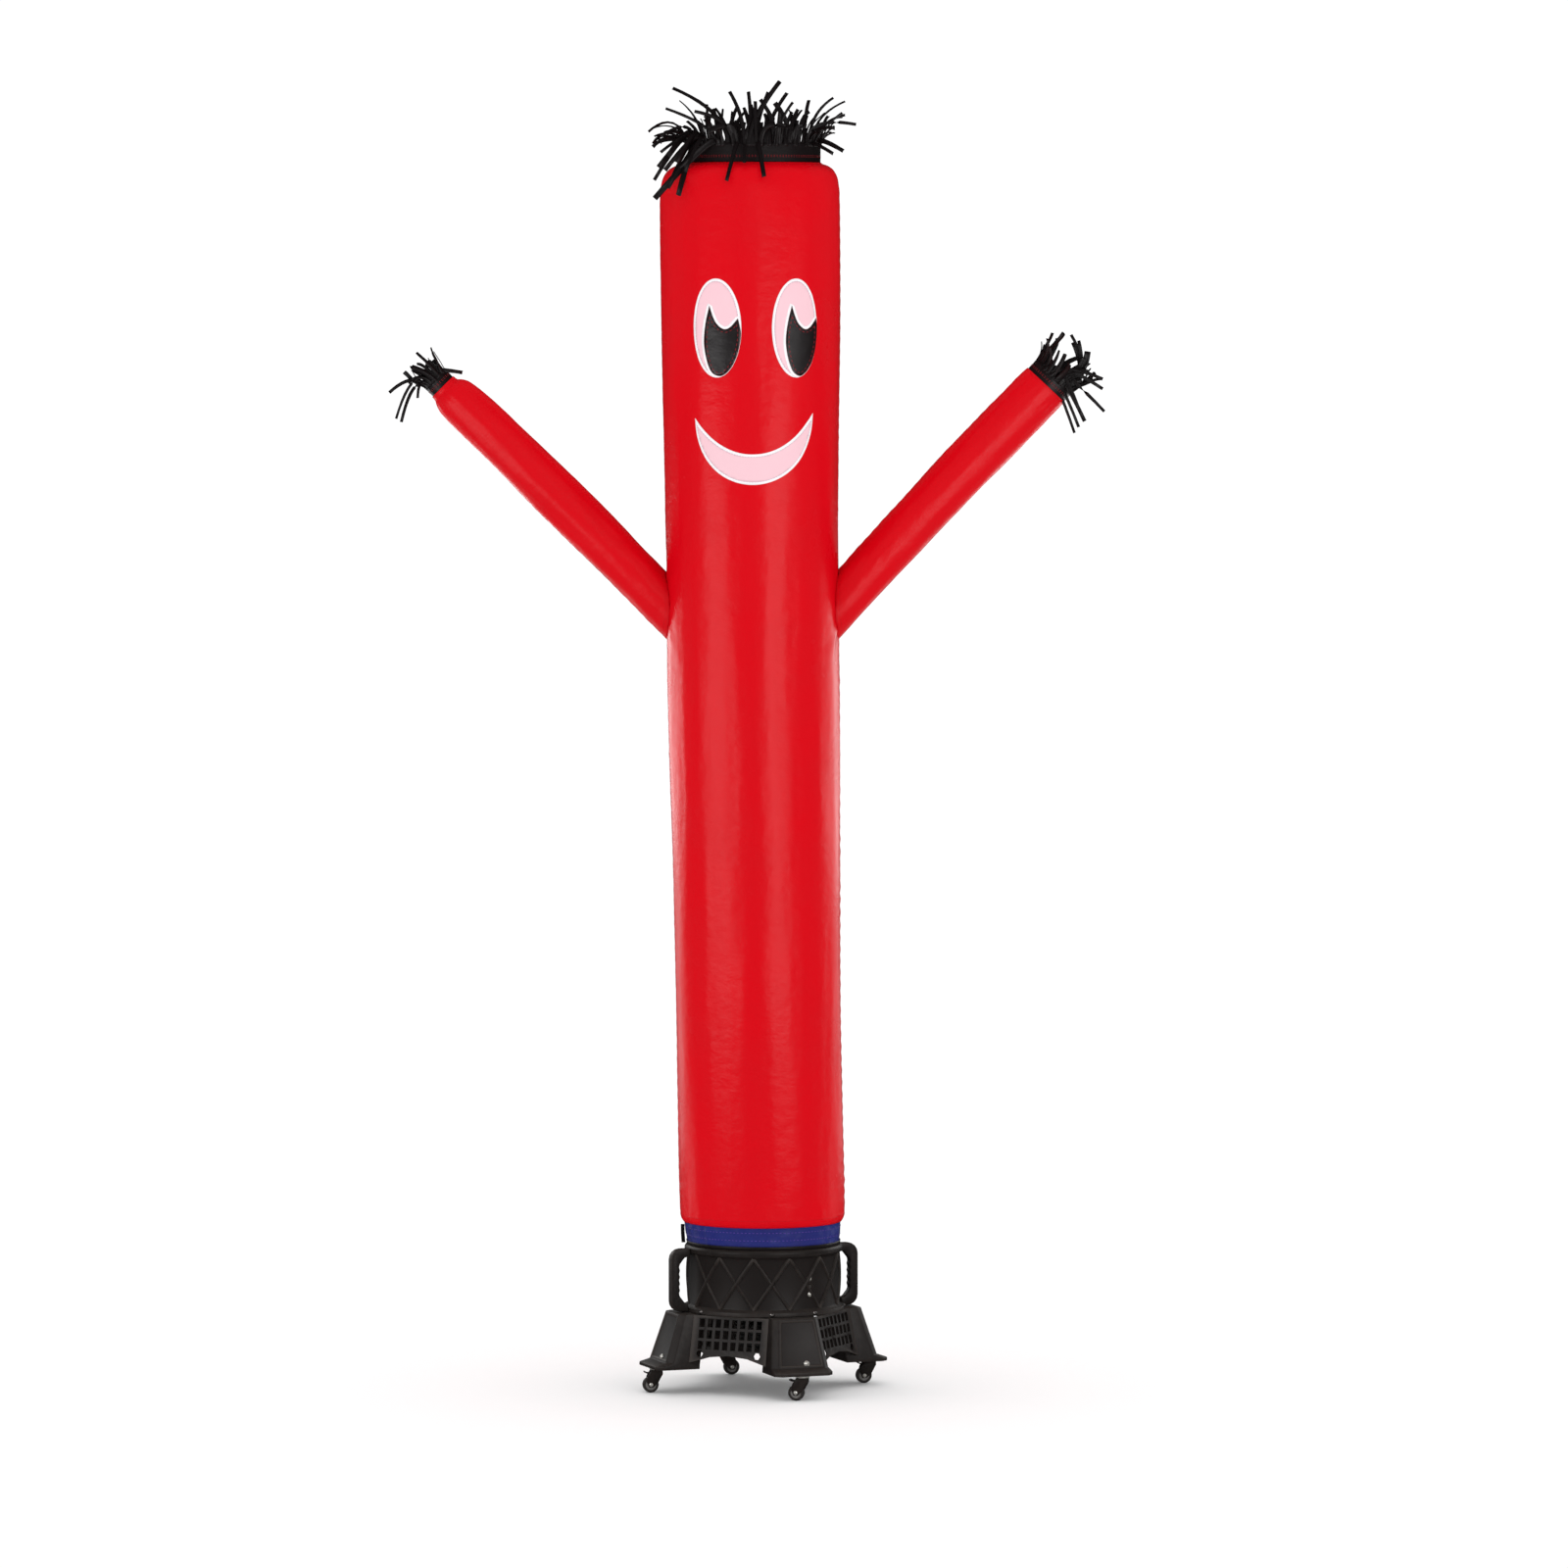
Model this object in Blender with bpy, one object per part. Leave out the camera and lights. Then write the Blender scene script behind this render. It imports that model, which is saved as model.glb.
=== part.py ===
"""Inflatable air dancer standing on its round blower, at full size. Metres, +Z up, seen from -Y."""

import math
import random
from collections import namedtuple

import bmesh
import bpy
from mathutils import Matrix, Vector

# Clearances and cloth
GAP = 0.0003
CLOTH = 0.0015
APPLIQUE = 0.0010
UP = Vector((0.0, 0.0, 1.0))

# Place of the blower's axis in the world, which puts the middle of the whole at X = Y = 0
BLOWER_AXIS = Vector((0.0576, 0.0000, 0.0))
BLOWER_TURN = math.radians(20.0)

# Red tube: the height, the lean of its middle to +X, and the radius of each ring of the cloth
Ring = namedtuple("Ring", "height lean radius")
TUBE_SEGMENTS = 36
TUBE_RINGS = (
    Ring(0.4700, -0.0030, 0.2212),
    Ring(0.4780, -0.0030, 0.2272),
    Ring(0.4920, -0.0030, 0.2305),
    Ring(0.9830, -0.0137, 0.2310),
    Ring(1.3500, -0.0182, 0.2325),
    Ring(1.8000, -0.0247, 0.2368),
    Ring(2.1900, -0.0295, 0.2395),
    Ring(2.4020, -0.0314, 0.2405),
    Ring(2.6200, -0.0330, 0.2445),
    Ring(2.8400, -0.0343, 0.2478),
    Ring(3.0580, -0.0355, 0.2505),
    Ring(3.3200, -0.0370, 0.2505),
    Ring(3.3700, -0.0365, 0.2470),
    Ring(3.4000, -0.0350, 0.2340),
    Ring(3.4150, -0.0320, 0.2120),
    Ring(3.4200, -0.0260, 0.1875),
    Ring(3.4300, -0.0255, 0.1868),
)
FLUTE_DEPTH = 0.0018
FLUTE_END = 3.30

# Arms: the root on the tube, the slope, and rings by distance, sideways bend and radius
Sleeve = namedtuple("Sleeve", "along bend radius")
ARM_SEGMENTS = 18
ARM_START = -0.120
ARM_ROOTS = {"left": (-0.2700, 2.1900), "right": (0.2120, 2.1980)}
ARM_SLOPES = {"left": math.radians(135.0), "right": math.radians(46.8)}
ARM_RINGS = {
    "left": (
        Sleeve(0.060, 0.000, 0.0655),
        Sleeve(0.300, 0.004, 0.0680),
        Sleeve(0.520, 0.003, 0.0690),
        Sleeve(0.740, 0.000, 0.0655),
        Sleeve(0.825, -0.003, 0.0610),
        Sleeve(0.851, -0.006, 0.0500),
        Sleeve(0.857, -0.008, 0.0425),
        Sleeve(0.872, -0.008, 0.0415),
    ),
    "right": (
        Sleeve(0.060, 0.000, 0.0660),
        Sleeve(0.280, -0.003, 0.0690),
        Sleeve(0.520, -0.004, 0.0715),
        Sleeve(0.740, 0.000, 0.0725),
        Sleeve(0.815, 0.002, 0.0715),
        Sleeve(0.836, 0.003, 0.0705),
    ),
}
ARM_HOLE_INSET = 0.0035

# Face: places by angle round the tube and height, sizes along the cloth
FACE_TURN = math.radians(4.0)
EYE_ANGLE = math.radians(26.2)
EYE_HEIGHT = 2.965
EYE_HALF_WIDTH = 0.0715
EYE_HALF_HEIGHT = 0.1365
EYE_POINTS = 20
PATCH_LOW = 2.35
PATCH_HIGH = 3.35
MOUTH_TURN = math.radians(2.4)
MOUTH_TIP_HEIGHT = 2.7230
MOUTH_HALF_WIDTH = 0.1757
MOUTH_OUTER_DEPTH = 0.1900
MOUTH_INNER_DEPTH = 0.1060
MOUTH_TILT = 0.040
MOUTH_STEPS = 7
# Pupil's outline in halves of the eye's width and height: two horns, a notch and a round foot
PUPIL = (
    (-0.31, 0.46), (-0.15, 0.24), (0.04, 0.05), (0.32, -0.04), (0.57, 0.03), (0.79, 0.15),
    (0.88, -0.14), (0.79, -0.44), (0.62, -0.68), (0.38, -0.85), (0.10, -0.94), (-0.18, -0.93),
    (-0.36, -0.79), (-0.52, -0.54), (-0.58, -0.25), (-0.49, 0.10),
)
PUPIL_FIT = 0.985

# Fringes: the band that holds the locks, and the locks cut from it
LOCK_SHARE = 0.74
LOCK_TIP_SHARE = 0.62
LOCK_THICKNESS = 0.0022
LOCK_STEPS = 3
TUCK = 0.009
HAND_TUCK = 0.005
Zone = namedtuple("Zone", "start end length first_tilt last_tilt")
HAIR_LOCKS = 60
HAIR_BAND_TOP = 3.478
HAIR_ZONES = (
    Zone(-40, 25, 0.125, 22, 88),
    Zone(25, 80, 0.130, 14, 60),
    Zone(80, 150, 0.150, 4, 30),
    Zone(150, 215, 0.165, 48, 158),
    Zone(215, 245, 0.130, 10, 62),
    Zone(245, 285, 0.150, -6, -22),
    Zone(285, 320, 0.165, 4, 26),
)
HAIR_SPREAD = 13
HAIR_HANGERS = {35: 0.130, 38: 0.135, 43: 0.120, 47: 0.125, 52: 0.120}
HANGER_TILTS = (70, 178)
HAND_LOCKS = {"left": 13, "right": 22}
HAND_BAND_LENGTH = 0.030
HAND_ZONES = {
    "left": (Zone(-60, 120, 0.125, 8, 55), Zone(120, 300, 0.140, 12, 40)),
    "right": (Zone(-60, 120, 0.110, 10, 50), Zone(120, 300, 0.125, 16, 66)),
}
HAND_SPREAD = 12

# Blue skirt over the blower's outlet, and its tag
SKIRT_RINGS = (
    Ring(0.4072, 0.0000, 0.2118),
    Ring(0.4620, -0.0030, 0.2178),
    Ring(0.4700, -0.0030, 0.2188),
    Ring(0.4780, -0.0030, 0.2242),
    Ring(0.4980, -0.0030, 0.2275),
)
TAG_SIZE = (0.014, 0.0015, 0.052)
TAG_HEIGHT = 0.434

# Drum: the turned outline, radius and height, from the lower flange round to the inner wall
DRUM_TOP = 0.4065
DRUM_FOOT = 0.2225
DRUM_WALL = 0.2116
DRUM_OUTLINE = (
    (0.2265, DRUM_FOOT), (0.2265, 0.2340), (DRUM_WALL, 0.2420), (DRUM_WALL, 0.3800),
    (0.2210, 0.3890), (0.2210, 0.4010), (0.2185, DRUM_TOP), (0.2085, DRUM_TOP), (0.2085, 0.4520),
    (0.2050, 0.4520), (0.2050, DRUM_FOOT),
)
RIB_PITCHES = 6
RIB_STEPS = 3
RIB_ZONE = math.radians(164.0)
RIB_PROUD = {"rising": 0.0038, "falling": 0.0032}
RIB_TRIM = {"rising": 0.0, "falling": 0.0006}
RIB_SUNK = 0.0037
RIB_CREST = 0.0050
RIB_FOOT = 0.0110
RIB_LOW = 0.2400
RIB_HIGH = 0.3835

# Side handles, in the plane through the blower's axis
HANDLE_REACH = 0.2780
HANDLE_TOP = 0.4000
HANDLE_BOTTOM = 0.2235
HANDLE_BAR = 0.0240
HANDLE_WIDTH = 0.0270
HANDLE_CORNER = 0.0300
HANDLE_SEAT_TOP = 0.2215
HANDLE_SEAT_BOTTOM = 0.2270
GRIP_WAVES = 5
GRIP_DEPTH = 0.0018
GRIP_STEPS = 20

# Legs of the base: height, inner and outer reach, half widths at the back, the side and the face
Leg = namedtuple("Leg", "height inner side_reach outer back side face")
LEG_TOP = 0.2220
LEG_FOOT = 0.0700
LEG_LEVELS = (
    Leg(LEG_FOOT, 0.2180, 0.3260, 0.3440, 0.0830, 0.0860, 0.0700),
    Leg(0.0800, 0.2180, 0.3260, 0.3440, 0.0830, 0.0860, 0.0700),
    Leg(0.0890, 0.2160, 0.2960, 0.3140, 0.0810, 0.0840, 0.0680),
    Leg(LEG_TOP, 0.1950, 0.2540, 0.2710, 0.0640, 0.0670, 0.0540),
)

# Grille panels between the legs
PANEL_THICKNESS = 0.0040
PANEL_TOP = 0.2205
PANEL_FOOT = 0.0900
PANEL_ARCH = 0.0230
PANEL_ARCH_STEPS = 4
PANEL_TOP_REACH = 0.2110
PANEL_FLARE = 0.20
GRILLE_COLUMNS = 8
GRILLE_ROWS = 3
GRILLE_HOLE = (0.0160, 0.0230)
GRILLE_PITCH = (0.0250, 0.0305)
GRILLE_MIDDLE = 0.1700
PORT_RADIUS = 0.0105
PORT_SIDES = 6
PORT_PLACE = (0.0880, 0.1160)

# Motor under the drum, on a cross bracket between the legs
MOTOR_RADIUS = 0.0800
MOTOR_TOP = 0.2140
MOTOR_BOTTOM = 0.1150
MOTOR_CROWN = 0.0140
BRACKET_WIDTH = 0.0240
BRACKET_THICKNESS = 0.0060
BRACKET_REACH = 0.1950

# Castors
CASTOR_REACH = 0.3170
CASTOR_TRAIL = 0.0170
CASTOR_HEADINGS = {"left": 188.0, "front": 168.0, "right": 192.0, "back": 12.0}
LEG_AZIMUTHS = {"right": 0.0, "back": 90.0, "left": 180.0, "front": 270.0}
PLATE_RADIUS = 0.0200
PLATE_THICKNESS = 0.0050
WHEEL_RADIUS = 0.0225
WHEEL_HALF_WIDTH = 0.0100
WHEEL_SIDES = 16
HUB_RADIUS = 0.0090
HUB_PROUD = 0.0015
CHEEK_THICKNESS = 0.0030
FORK_TOP = LEG_FOOT - GAP - PLATE_THICKNESS - GAP
PEDAL_PIVOT = (0.0080, 0.0545)
PEDAL_LENGTH = 0.0440
PEDAL_THICKNESS = 0.0034


def clear_scene():
    """Remove what the startup scene holds."""
    for thing in list(bpy.data.objects):
        bpy.data.objects.remove(thing, do_unlink=True)


def make_material(name, colour, roughness, metallic=0.0):
    """A plain Principled material."""
    material = bpy.data.materials.new(name)
    material.use_nodes = True
    shader = material.node_tree.nodes["Principled BSDF"]
    shader.inputs["Base Color"].default_value = (*colour, 1.0)
    shader.inputs["Roughness"].default_value = roughness
    shader.inputs["Metallic"].default_value = metallic
    return material


def red_nylon():
    return make_material("red nylon", (0.72, 0.003, 0.008), 0.42)


def black_nylon():
    return make_material("black nylon", (0.012, 0.010, 0.010), 0.60)


def blue_nylon():
    return make_material("blue nylon", (0.022, 0.030, 0.220), 0.55)


def white_cloth():
    return make_material("white cloth", (0.90, 0.66, 0.70), 0.60)


def black_plastic():
    return make_material("black moulded plastic", (0.022, 0.019, 0.018), 0.45)


def black_rubber():
    return make_material("black rubber", (0.016, 0.015, 0.015), 0.70)


def motor_metal():
    return make_material("dark motor metal", (0.05, 0.05, 0.05), 0.50, 0.8)


def link_object(name, bm, material, parent, sharp_angle=35.0):
    """Turn a bmesh into a named object on its parent."""
    mesh = bpy.data.meshes.new(name)
    bm.to_mesh(mesh)
    bm.free()
    mesh.shade_smooth()
    mesh.set_sharp_from_angle(angle=math.radians(sharp_angle))
    mesh.materials.append(material)
    thing = bpy.data.objects.new(name, mesh)
    bpy.context.scene.collection.objects.link(thing)
    thing.parent = parent
    return thing


def link_cutter(name, bm, parent):
    """An unseen helper for a Boolean."""
    mesh = bpy.data.meshes.new(name)
    bm.to_mesh(mesh)
    bm.free()
    cutter = bpy.data.objects.new(name, mesh)
    cutter.hide_render = True
    cutter.display_type = "WIRE"
    bpy.context.scene.collection.objects.link(cutter)
    cutter.parent = parent
    return cutter


def add_boolean(thing, operation, other):
    boolean = thing.modifiers.new(f"{operation} {other.name}", "BOOLEAN")
    boolean.operation = operation
    boolean.object = other
    boolean.solver = "EXACT"


def add_wall(thing, thickness):
    """Give an open surface its thickness, inwards."""
    wall = thing.modifiers.new("wall", "SOLIDIFY")
    wall.thickness = thickness
    wall.offset = -1.0
    wall.use_even_offset = True


def skin(bm, loops, close=False):
    """Join loops of points, each counterclockwise seen from the last one, with faces that look out."""
    rows = [[bm.verts.new(point) for point in loop] for loop in loops]
    pairs = list(zip(rows, rows[1:]))
    if close:
        pairs.append((rows[-1], rows[0]))
    for low, high in pairs:
        count = len(low)
        for i in range(count):
            j = (i + 1) % count
            bm.faces.new((low[i], low[j], high[j], high[i]))
    return rows


def cap(bm, row, flip=False):
    bm.faces.new(list(reversed(row)) if flip else row)


def loft(loops):
    """A closed solid through loops of points, from the lowest to the highest."""
    bm = bmesh.new()
    rows = skin(bm, loops)
    cap(bm, rows[0], flip=True)
    cap(bm, rows[-1])
    return bm


def prism(outline, axis_point, depth):
    """A solid between two copies of an outline, each point placed by axis_point(a, b, depth)."""
    near = [axis_point(a, b, -depth / 2) for a, b in outline]
    far = [axis_point(a, b, depth / 2) for a, b in outline]
    bm = loft([near, far])
    bmesh.ops.recalc_face_normals(bm, faces=bm.faces)
    return bm


def box(centre, size):
    bm = bmesh.new()
    bmesh.ops.create_cube(bm, size=1.0)
    bmesh.ops.scale(bm, vec=size, verts=bm.verts)
    bmesh.ops.translate(bm, vec=centre, verts=bm.verts)
    return bm


def circle_angles(count):
    return [2 * math.pi * i / count for i in range(count)]


def flutes(angle, height):
    """Soft lengthwise unevenness of the blown tube, none at the hem and at the shoulder."""
    low, high = TUBE_RINGS[1].height, FLUTE_END
    if not low < height < high:
        return 0.0
    swell = math.sin(math.pi * (height - low) / (high - low)) ** 0.5
    wave = 0.6 * math.sin(5 * angle + 1.9 * height) + 0.4 * math.sin(8 * angle - 2.6 * height)
    return FLUTE_DEPTH * swell * wave


def tube_loop(ring, proud=0.0):
    """One ring of the red tube's outer face, moved out by proud."""
    points = []
    for angle in circle_angles(TUBE_SEGMENTS):
        radius = ring.radius + proud + flutes(angle, ring.height)
        points.append(Vector((ring.lean + radius * math.cos(angle), radius * math.sin(angle), ring.height)))
    return points


def tube_at(height):
    """The tube's lean and radius at a height."""
    for low, high in zip(TUBE_RINGS, TUBE_RINGS[1:]):
        if low.height <= height <= high.height:
            share = (height - low.height) / (high.height - low.height)
            lean = low.lean + share * (high.lean - low.lean)
            radius = low.radius + share * (high.radius - low.radius)
            return lean, radius
    raise ValueError("no cloth at this height")


def arm_frame(side):
    """Place and turn of an arm: its own Z runs along it, X to its upper side, Y to the back or front."""
    x, z = ARM_ROOTS[side]
    slope = ARM_SLOPES[side]
    along = Vector((math.cos(slope), 0.0, math.sin(slope)))
    back = Vector((0.0, 1.0, 0.0))
    upper = back.cross(along)
    turn = Matrix((upper, back, along)).transposed().to_4x4()
    return Matrix.Translation((x, 0.0, z)) @ turn


def sleeve_loop(sleeve):
    return [
        Vector((sleeve.bend + sleeve.radius * math.cos(a), sleeve.radius * math.sin(a), sleeve.along))
        for a in circle_angles(ARM_SEGMENTS)
    ]


def build_tube(parent, material):
    """The red tube, one open cloth wall with a hole under each arm."""
    bm = bmesh.new()
    skin(bm, [tube_loop(ring) for ring in TUBE_RINGS])
    tube = link_object("tube", bm, material, parent)
    add_wall(tube, CLOTH)
    for side in ARM_ROOTS:
        radius = ARM_RINGS[side][0].radius - ARM_HOLE_INSET
        low = Sleeve(ARM_START, 0.0, radius)
        high = Sleeve(-ARM_START, 0.0, radius)
        cutter = link_cutter(f"arm_hole_{side}", loft([sleeve_loop(low), sleeve_loop(high)]), parent)
        cutter.matrix_local = arm_frame(side)
        add_boolean(tube, "DIFFERENCE", cutter)


def build_arms(parent, material):
    """Two sleeves, each cut to the round of the tube at its root."""
    rings = TUBE_RINGS[3:10]
    body = link_cutter("tube_envelope", loft([tube_loop(ring, GAP) for ring in rings]), parent)
    for side, sleeves in ARM_RINGS.items():
        start = sleeves[0]._replace(along=ARM_START)
        bm = bmesh.new()
        skin(bm, [sleeve_loop(sleeve) for sleeve in (start, *sleeves)])
        arm = link_object(f"arm_{side}", bm, material, parent)
        arm.matrix_local = arm_frame(side)
        add_wall(arm, CLOTH)
        add_boolean(arm, "DIFFERENCE", body)


def wrap(turn, height, along, above):
    """A point of the face in the front view, from its place along the cloth round the angle turn."""
    lean, radius = tube_at(height)
    return lean + radius * math.sin(turn + along / radius), height + above


def eye_outline(turn):
    points = []
    for angle in circle_angles(EYE_POINTS):
        along = EYE_HALF_WIDTH * math.cos(angle)
        points.append(wrap(turn, EYE_HEIGHT, along, EYE_HALF_HEIGHT * math.sin(angle)))
    return points


def pupil_outline(turn):
    points = []
    for across, above in PUPIL:
        along = EYE_HALF_WIDTH * PUPIL_FIT * across
        points.append(wrap(turn, EYE_HEIGHT, along, EYE_HALF_HEIGHT * PUPIL_FIT * above))
    return points


def mouth_outline():
    """A crescent: an elliptic lower edge and a flatter upper edge between two sharp tips."""
    lower, upper = [], []
    for i in range(-MOUTH_STEPS, MOUTH_STEPS + 1):
        share = math.sin(math.pi / 2 * i / MOUTH_STEPS)
        along = MOUTH_HALF_WIDTH * share
        tilt = MOUTH_TILT * along
        drop = MOUTH_OUTER_DEPTH * math.sqrt(1 - share * share)
        lower.append(wrap(MOUTH_TURN, MOUTH_TIP_HEIGHT, along, tilt - drop))
        if abs(i) < MOUTH_STEPS:
            drop = MOUTH_INNER_DEPTH * (1 - abs(share) ** 2.1)
            upper.append(wrap(MOUTH_TURN, MOUTH_TIP_HEIGHT, along, tilt - drop))
    return lower + upper[::-1]


def build_patch(name, outline, layer, parent, material):
    """A flat patch cut by its outline from a thin layer that lies on the tube's own cloth."""
    rings = [ring for ring in TUBE_RINGS if PATCH_LOW < ring.height < PATCH_HIGH]
    inner = GAP + layer * (APPLIQUE + GAP)
    bm = bmesh.new()
    outer_loops = [tube_loop(ring, inner + APPLIQUE) for ring in rings]
    inner_loops = [tube_loop(ring, inner) for ring in reversed(rings)]
    skin(bm, outer_loops + inner_loops, close=True)
    patch = link_object(name, bm, material, parent)
    reach = max(ring.radius for ring in rings) * 1.5
    cutter_mesh = prism(outline, lambda a, b, depth: Vector((a, depth - reach / 2, b)), reach)
    cutter = link_cutter(f"{name}_outline", cutter_mesh, parent)
    add_boolean(patch, "INTERSECT", cutter)


def build_face(parent, white, black):
    for side, turn in (("left", FACE_TURN - EYE_ANGLE), ("right", FACE_TURN + EYE_ANGLE)):
        build_patch(f"eye_{side}", eye_outline(turn), 0, parent, white)
        build_patch(f"pupil_{side}", pupil_outline(turn), 1, parent, black)
    build_patch("mouth", mouth_outline(), 0, parent, white)


def zone_of(zones, degrees):
    for zone in zones:
        if (degrees - zone.start) % 360 < zone.end - zone.start:
            return zone
    raise ValueError("no zone at this angle")


def lock_plan(zones, count, spread, hangers, rng):
    """Length and first and last tilt of each lock, with neighbours that lean apart."""
    plan = []
    for i in range(count):
        zone = zone_of(zones, 360 * (i + 0.5) / count)
        length = zone.length * rng.uniform(0.72, 1.12)
        side = spread if i % 2 else -spread
        first = zone.first_tilt + side * 0.6 + rng.uniform(-3, 3)
        last = zone.last_tilt + side + rng.uniform(-8, 8)
        if i in hangers:
            length = hangers[i]
            first, last = HANGER_TILTS
        plan.append((length, first, last))
    return plan


def build_fringe(name, radius, low, high, plan, parent, material):
    """A band of black cloth, cut from its top into locks that stand, lean or hang."""
    count = len(plan)
    half_lock = math.pi / count * LOCK_SHARE
    angles = []
    for i in range(count):
        middle = 2 * math.pi * (i + 0.5) / count
        angles += [middle - half_lock, middle + half_lock]
    inner_radius = radius - LOCK_THICKNESS
    bm = bmesh.new()
    loops = [
        [Vector((r * math.cos(a), r * math.sin(a), z)) for a in angles]
        for r, z in ((radius, low), (radius, high), (inner_radius, high), (inner_radius, low))
    ]
    rows = skin(bm, loops, close=True)
    tops = list(bm.faces)[2 * count:4 * count:2]
    middle_radius = radius - LOCK_THICKNESS / 2
    half_width = half_lock * middle_radius
    for i, (face, (length, first, last)) in enumerate(zip(tops, plan)):
        middle = 2 * math.pi * (i + 0.5) / count
        outward = Vector((math.cos(middle), math.sin(middle), 0.0))
        sideways = Vector((-math.sin(middle), math.cos(middle), 0.0))
        root = outward * middle_radius + UP * high
        grow_lock(bm, face, root, outward, sideways, half_width, length, first, last)
    return link_object(name, bm, material, parent)


def grow_lock(bm, face, place, outward, sideways, half_width, length, first, last):
    """Extrude one lock from its root face, bending from its first tilt to its last."""
    signs = []
    for vert in face.verts:
        offset = vert.co - place
        signs.append((math.copysign(1, offset.dot(sideways)), math.copysign(1, offset.dot(outward))))
    step = length / LOCK_STEPS
    for k in range(LOCK_STEPS):
        tilt = math.radians(first + (last - first) * k / (LOCK_STEPS - 1))
        normal = outward * math.cos(tilt) - UP * math.sin(tilt)
        place = place + (UP * math.cos(tilt) + outward * math.sin(tilt)) * step
        share = 1 - (1 - LOCK_TIP_SHARE) * (k + 1) / LOCK_STEPS
        face = bmesh.ops.extrude_discrete_faces(bm, faces=[face])["faces"][0]
        for vert, (along, across) in zip(face.verts, signs):
            side_step = sideways * (along * half_width * share)
            vert.co = place + side_step + normal * (across * LOCK_THICKNESS / 2)


def inside_radius(radius, segments):
    """The largest round band that fits inside a cloth ring of that many flats."""
    return (radius - CLOTH) * math.cos(math.pi / segments) - GAP


def build_hair(parent, material, rng):
    neck = TUBE_RINGS[-1]
    plan = lock_plan(HAIR_ZONES, HAIR_LOCKS, HAIR_SPREAD, HAIR_HANGERS, rng)
    radius = inside_radius(neck.radius, TUBE_SEGMENTS)
    low = neck.height - TUCK
    hair = build_fringe("hair", radius, low, HAIR_BAND_TOP, plan, parent, material)
    hair.location = (neck.lean, 0.0, 0.0)


def build_hands(parent, material, rng):
    for side, sleeves in ARM_RINGS.items():
        end = sleeves[-1]
        plan = lock_plan(HAND_ZONES[side], HAND_LOCKS[side], HAND_SPREAD, {}, rng)
        radius = inside_radius(end.radius, ARM_SEGMENTS)
        low = end.along - HAND_TUCK
        hand = build_fringe(f"hand_{side}", radius, low, end.along + HAND_BAND_LENGTH, plan, parent, material)
        hand.matrix_local = arm_frame(side) @ Matrix.Translation((end.bend, 0.0, 0.0))


def build_skirt(parent, blue, black):
    """The blue band round the blower's outlet, tucked up inside the red hem, and its tag."""
    loops = []
    for ring in SKIRT_RINGS:
        points = []
        for angle in circle_angles(TUBE_SEGMENTS):
            points.append(Vector((
                ring.lean + ring.radius * math.cos(angle), ring.radius * math.sin(angle), ring.height,
            )))
        loops.append(points)
    bm = bmesh.new()
    skin(bm, loops)
    skirt = link_object("skirt", bm, blue, parent)
    add_wall(skirt, CLOTH)
    top = SKIRT_RINGS[1]
    reach = top.radius - top.lean + TAG_SIZE[0] / 2
    link_object("tag", box((-reach, 0.0, TAG_HEIGHT), TAG_SIZE), black, parent)


def drum_angles():
    """Angles round the drum: quarter pitches of the ribs, and one stop behind each handle."""
    rest = (math.pi - RIB_ZONE) / 2
    steps = RIB_PITCHES * RIB_STEPS
    angles = []
    for half in (0.0, math.pi):
        angles.append(half)
        angles += [half + rest + RIB_ZONE * i / steps for i in range(steps + 1)]
    return angles


def rib_loop(angle, height, slant, proud):
    """Section of one slanted rib: a flat crest that stands proud and a foot sunk in the wall."""
    out = Vector((math.cos(angle), math.sin(angle), 0.0))
    side = Vector((-math.sin(angle), math.cos(angle), 0.0)) * math.cos(slant) - UP * math.sin(slant)
    crest = out * (DRUM_WALL + proud) + UP * height
    foot = out * (DRUM_WALL - RIB_SUNK) + UP * height
    return [
        foot - side * RIB_FOOT / 2, crest - side * RIB_CREST / 2,
        crest + side * RIB_CREST / 2, foot + side * RIB_FOOT / 2,
    ]


def rib_set(lean):
    """The ribs that lean one way, all round, as one mesh of separate bars."""
    rest = (math.pi - RIB_ZONE) / 2
    pitch = RIB_ZONE / RIB_PITCHES
    rising = lean == "rising"
    low = RIB_LOW + RIB_TRIM[lean]
    high = RIB_HIGH - RIB_TRIM[lean]
    slant = math.atan2(pitch * DRUM_WALL, high - low) * (1 if rising else -1)
    bm = bmesh.new()
    for half in (0.0, math.pi):
        for k in range(RIB_PITCHES):
            start = half + rest + k * pitch
            loops = []
            for i in range(RIB_STEPS + 1):
                share = i / RIB_STEPS
                angle = start + pitch * (share if rising else 1 - share)
                loops.append(rib_loop(angle, low + share * (high - low), slant, RIB_PROUD[lean]))
            rows = skin(bm, loops)
            cap(bm, rows[0], flip=True)
            cap(bm, rows[-1])
    bmesh.ops.recalc_face_normals(bm, faces=bm.faces)
    return bm


def build_drum(parent, material):
    """The round duct with its flange, ribbed wall, rim bead and outlet collar."""
    angles = drum_angles()
    loops = [[Vector((r * math.cos(a), r * math.sin(a), z)) for a in angles] for r, z in DRUM_OUTLINE]
    bm = bmesh.new()
    skin(bm, loops, close=True)
    drum = link_object("drum", bm, material, parent)
    for lean in RIB_PROUD:
        add_boolean(drum, "UNION", link_cutter(f"ribs_{lean}", rib_set(lean), parent))


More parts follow.
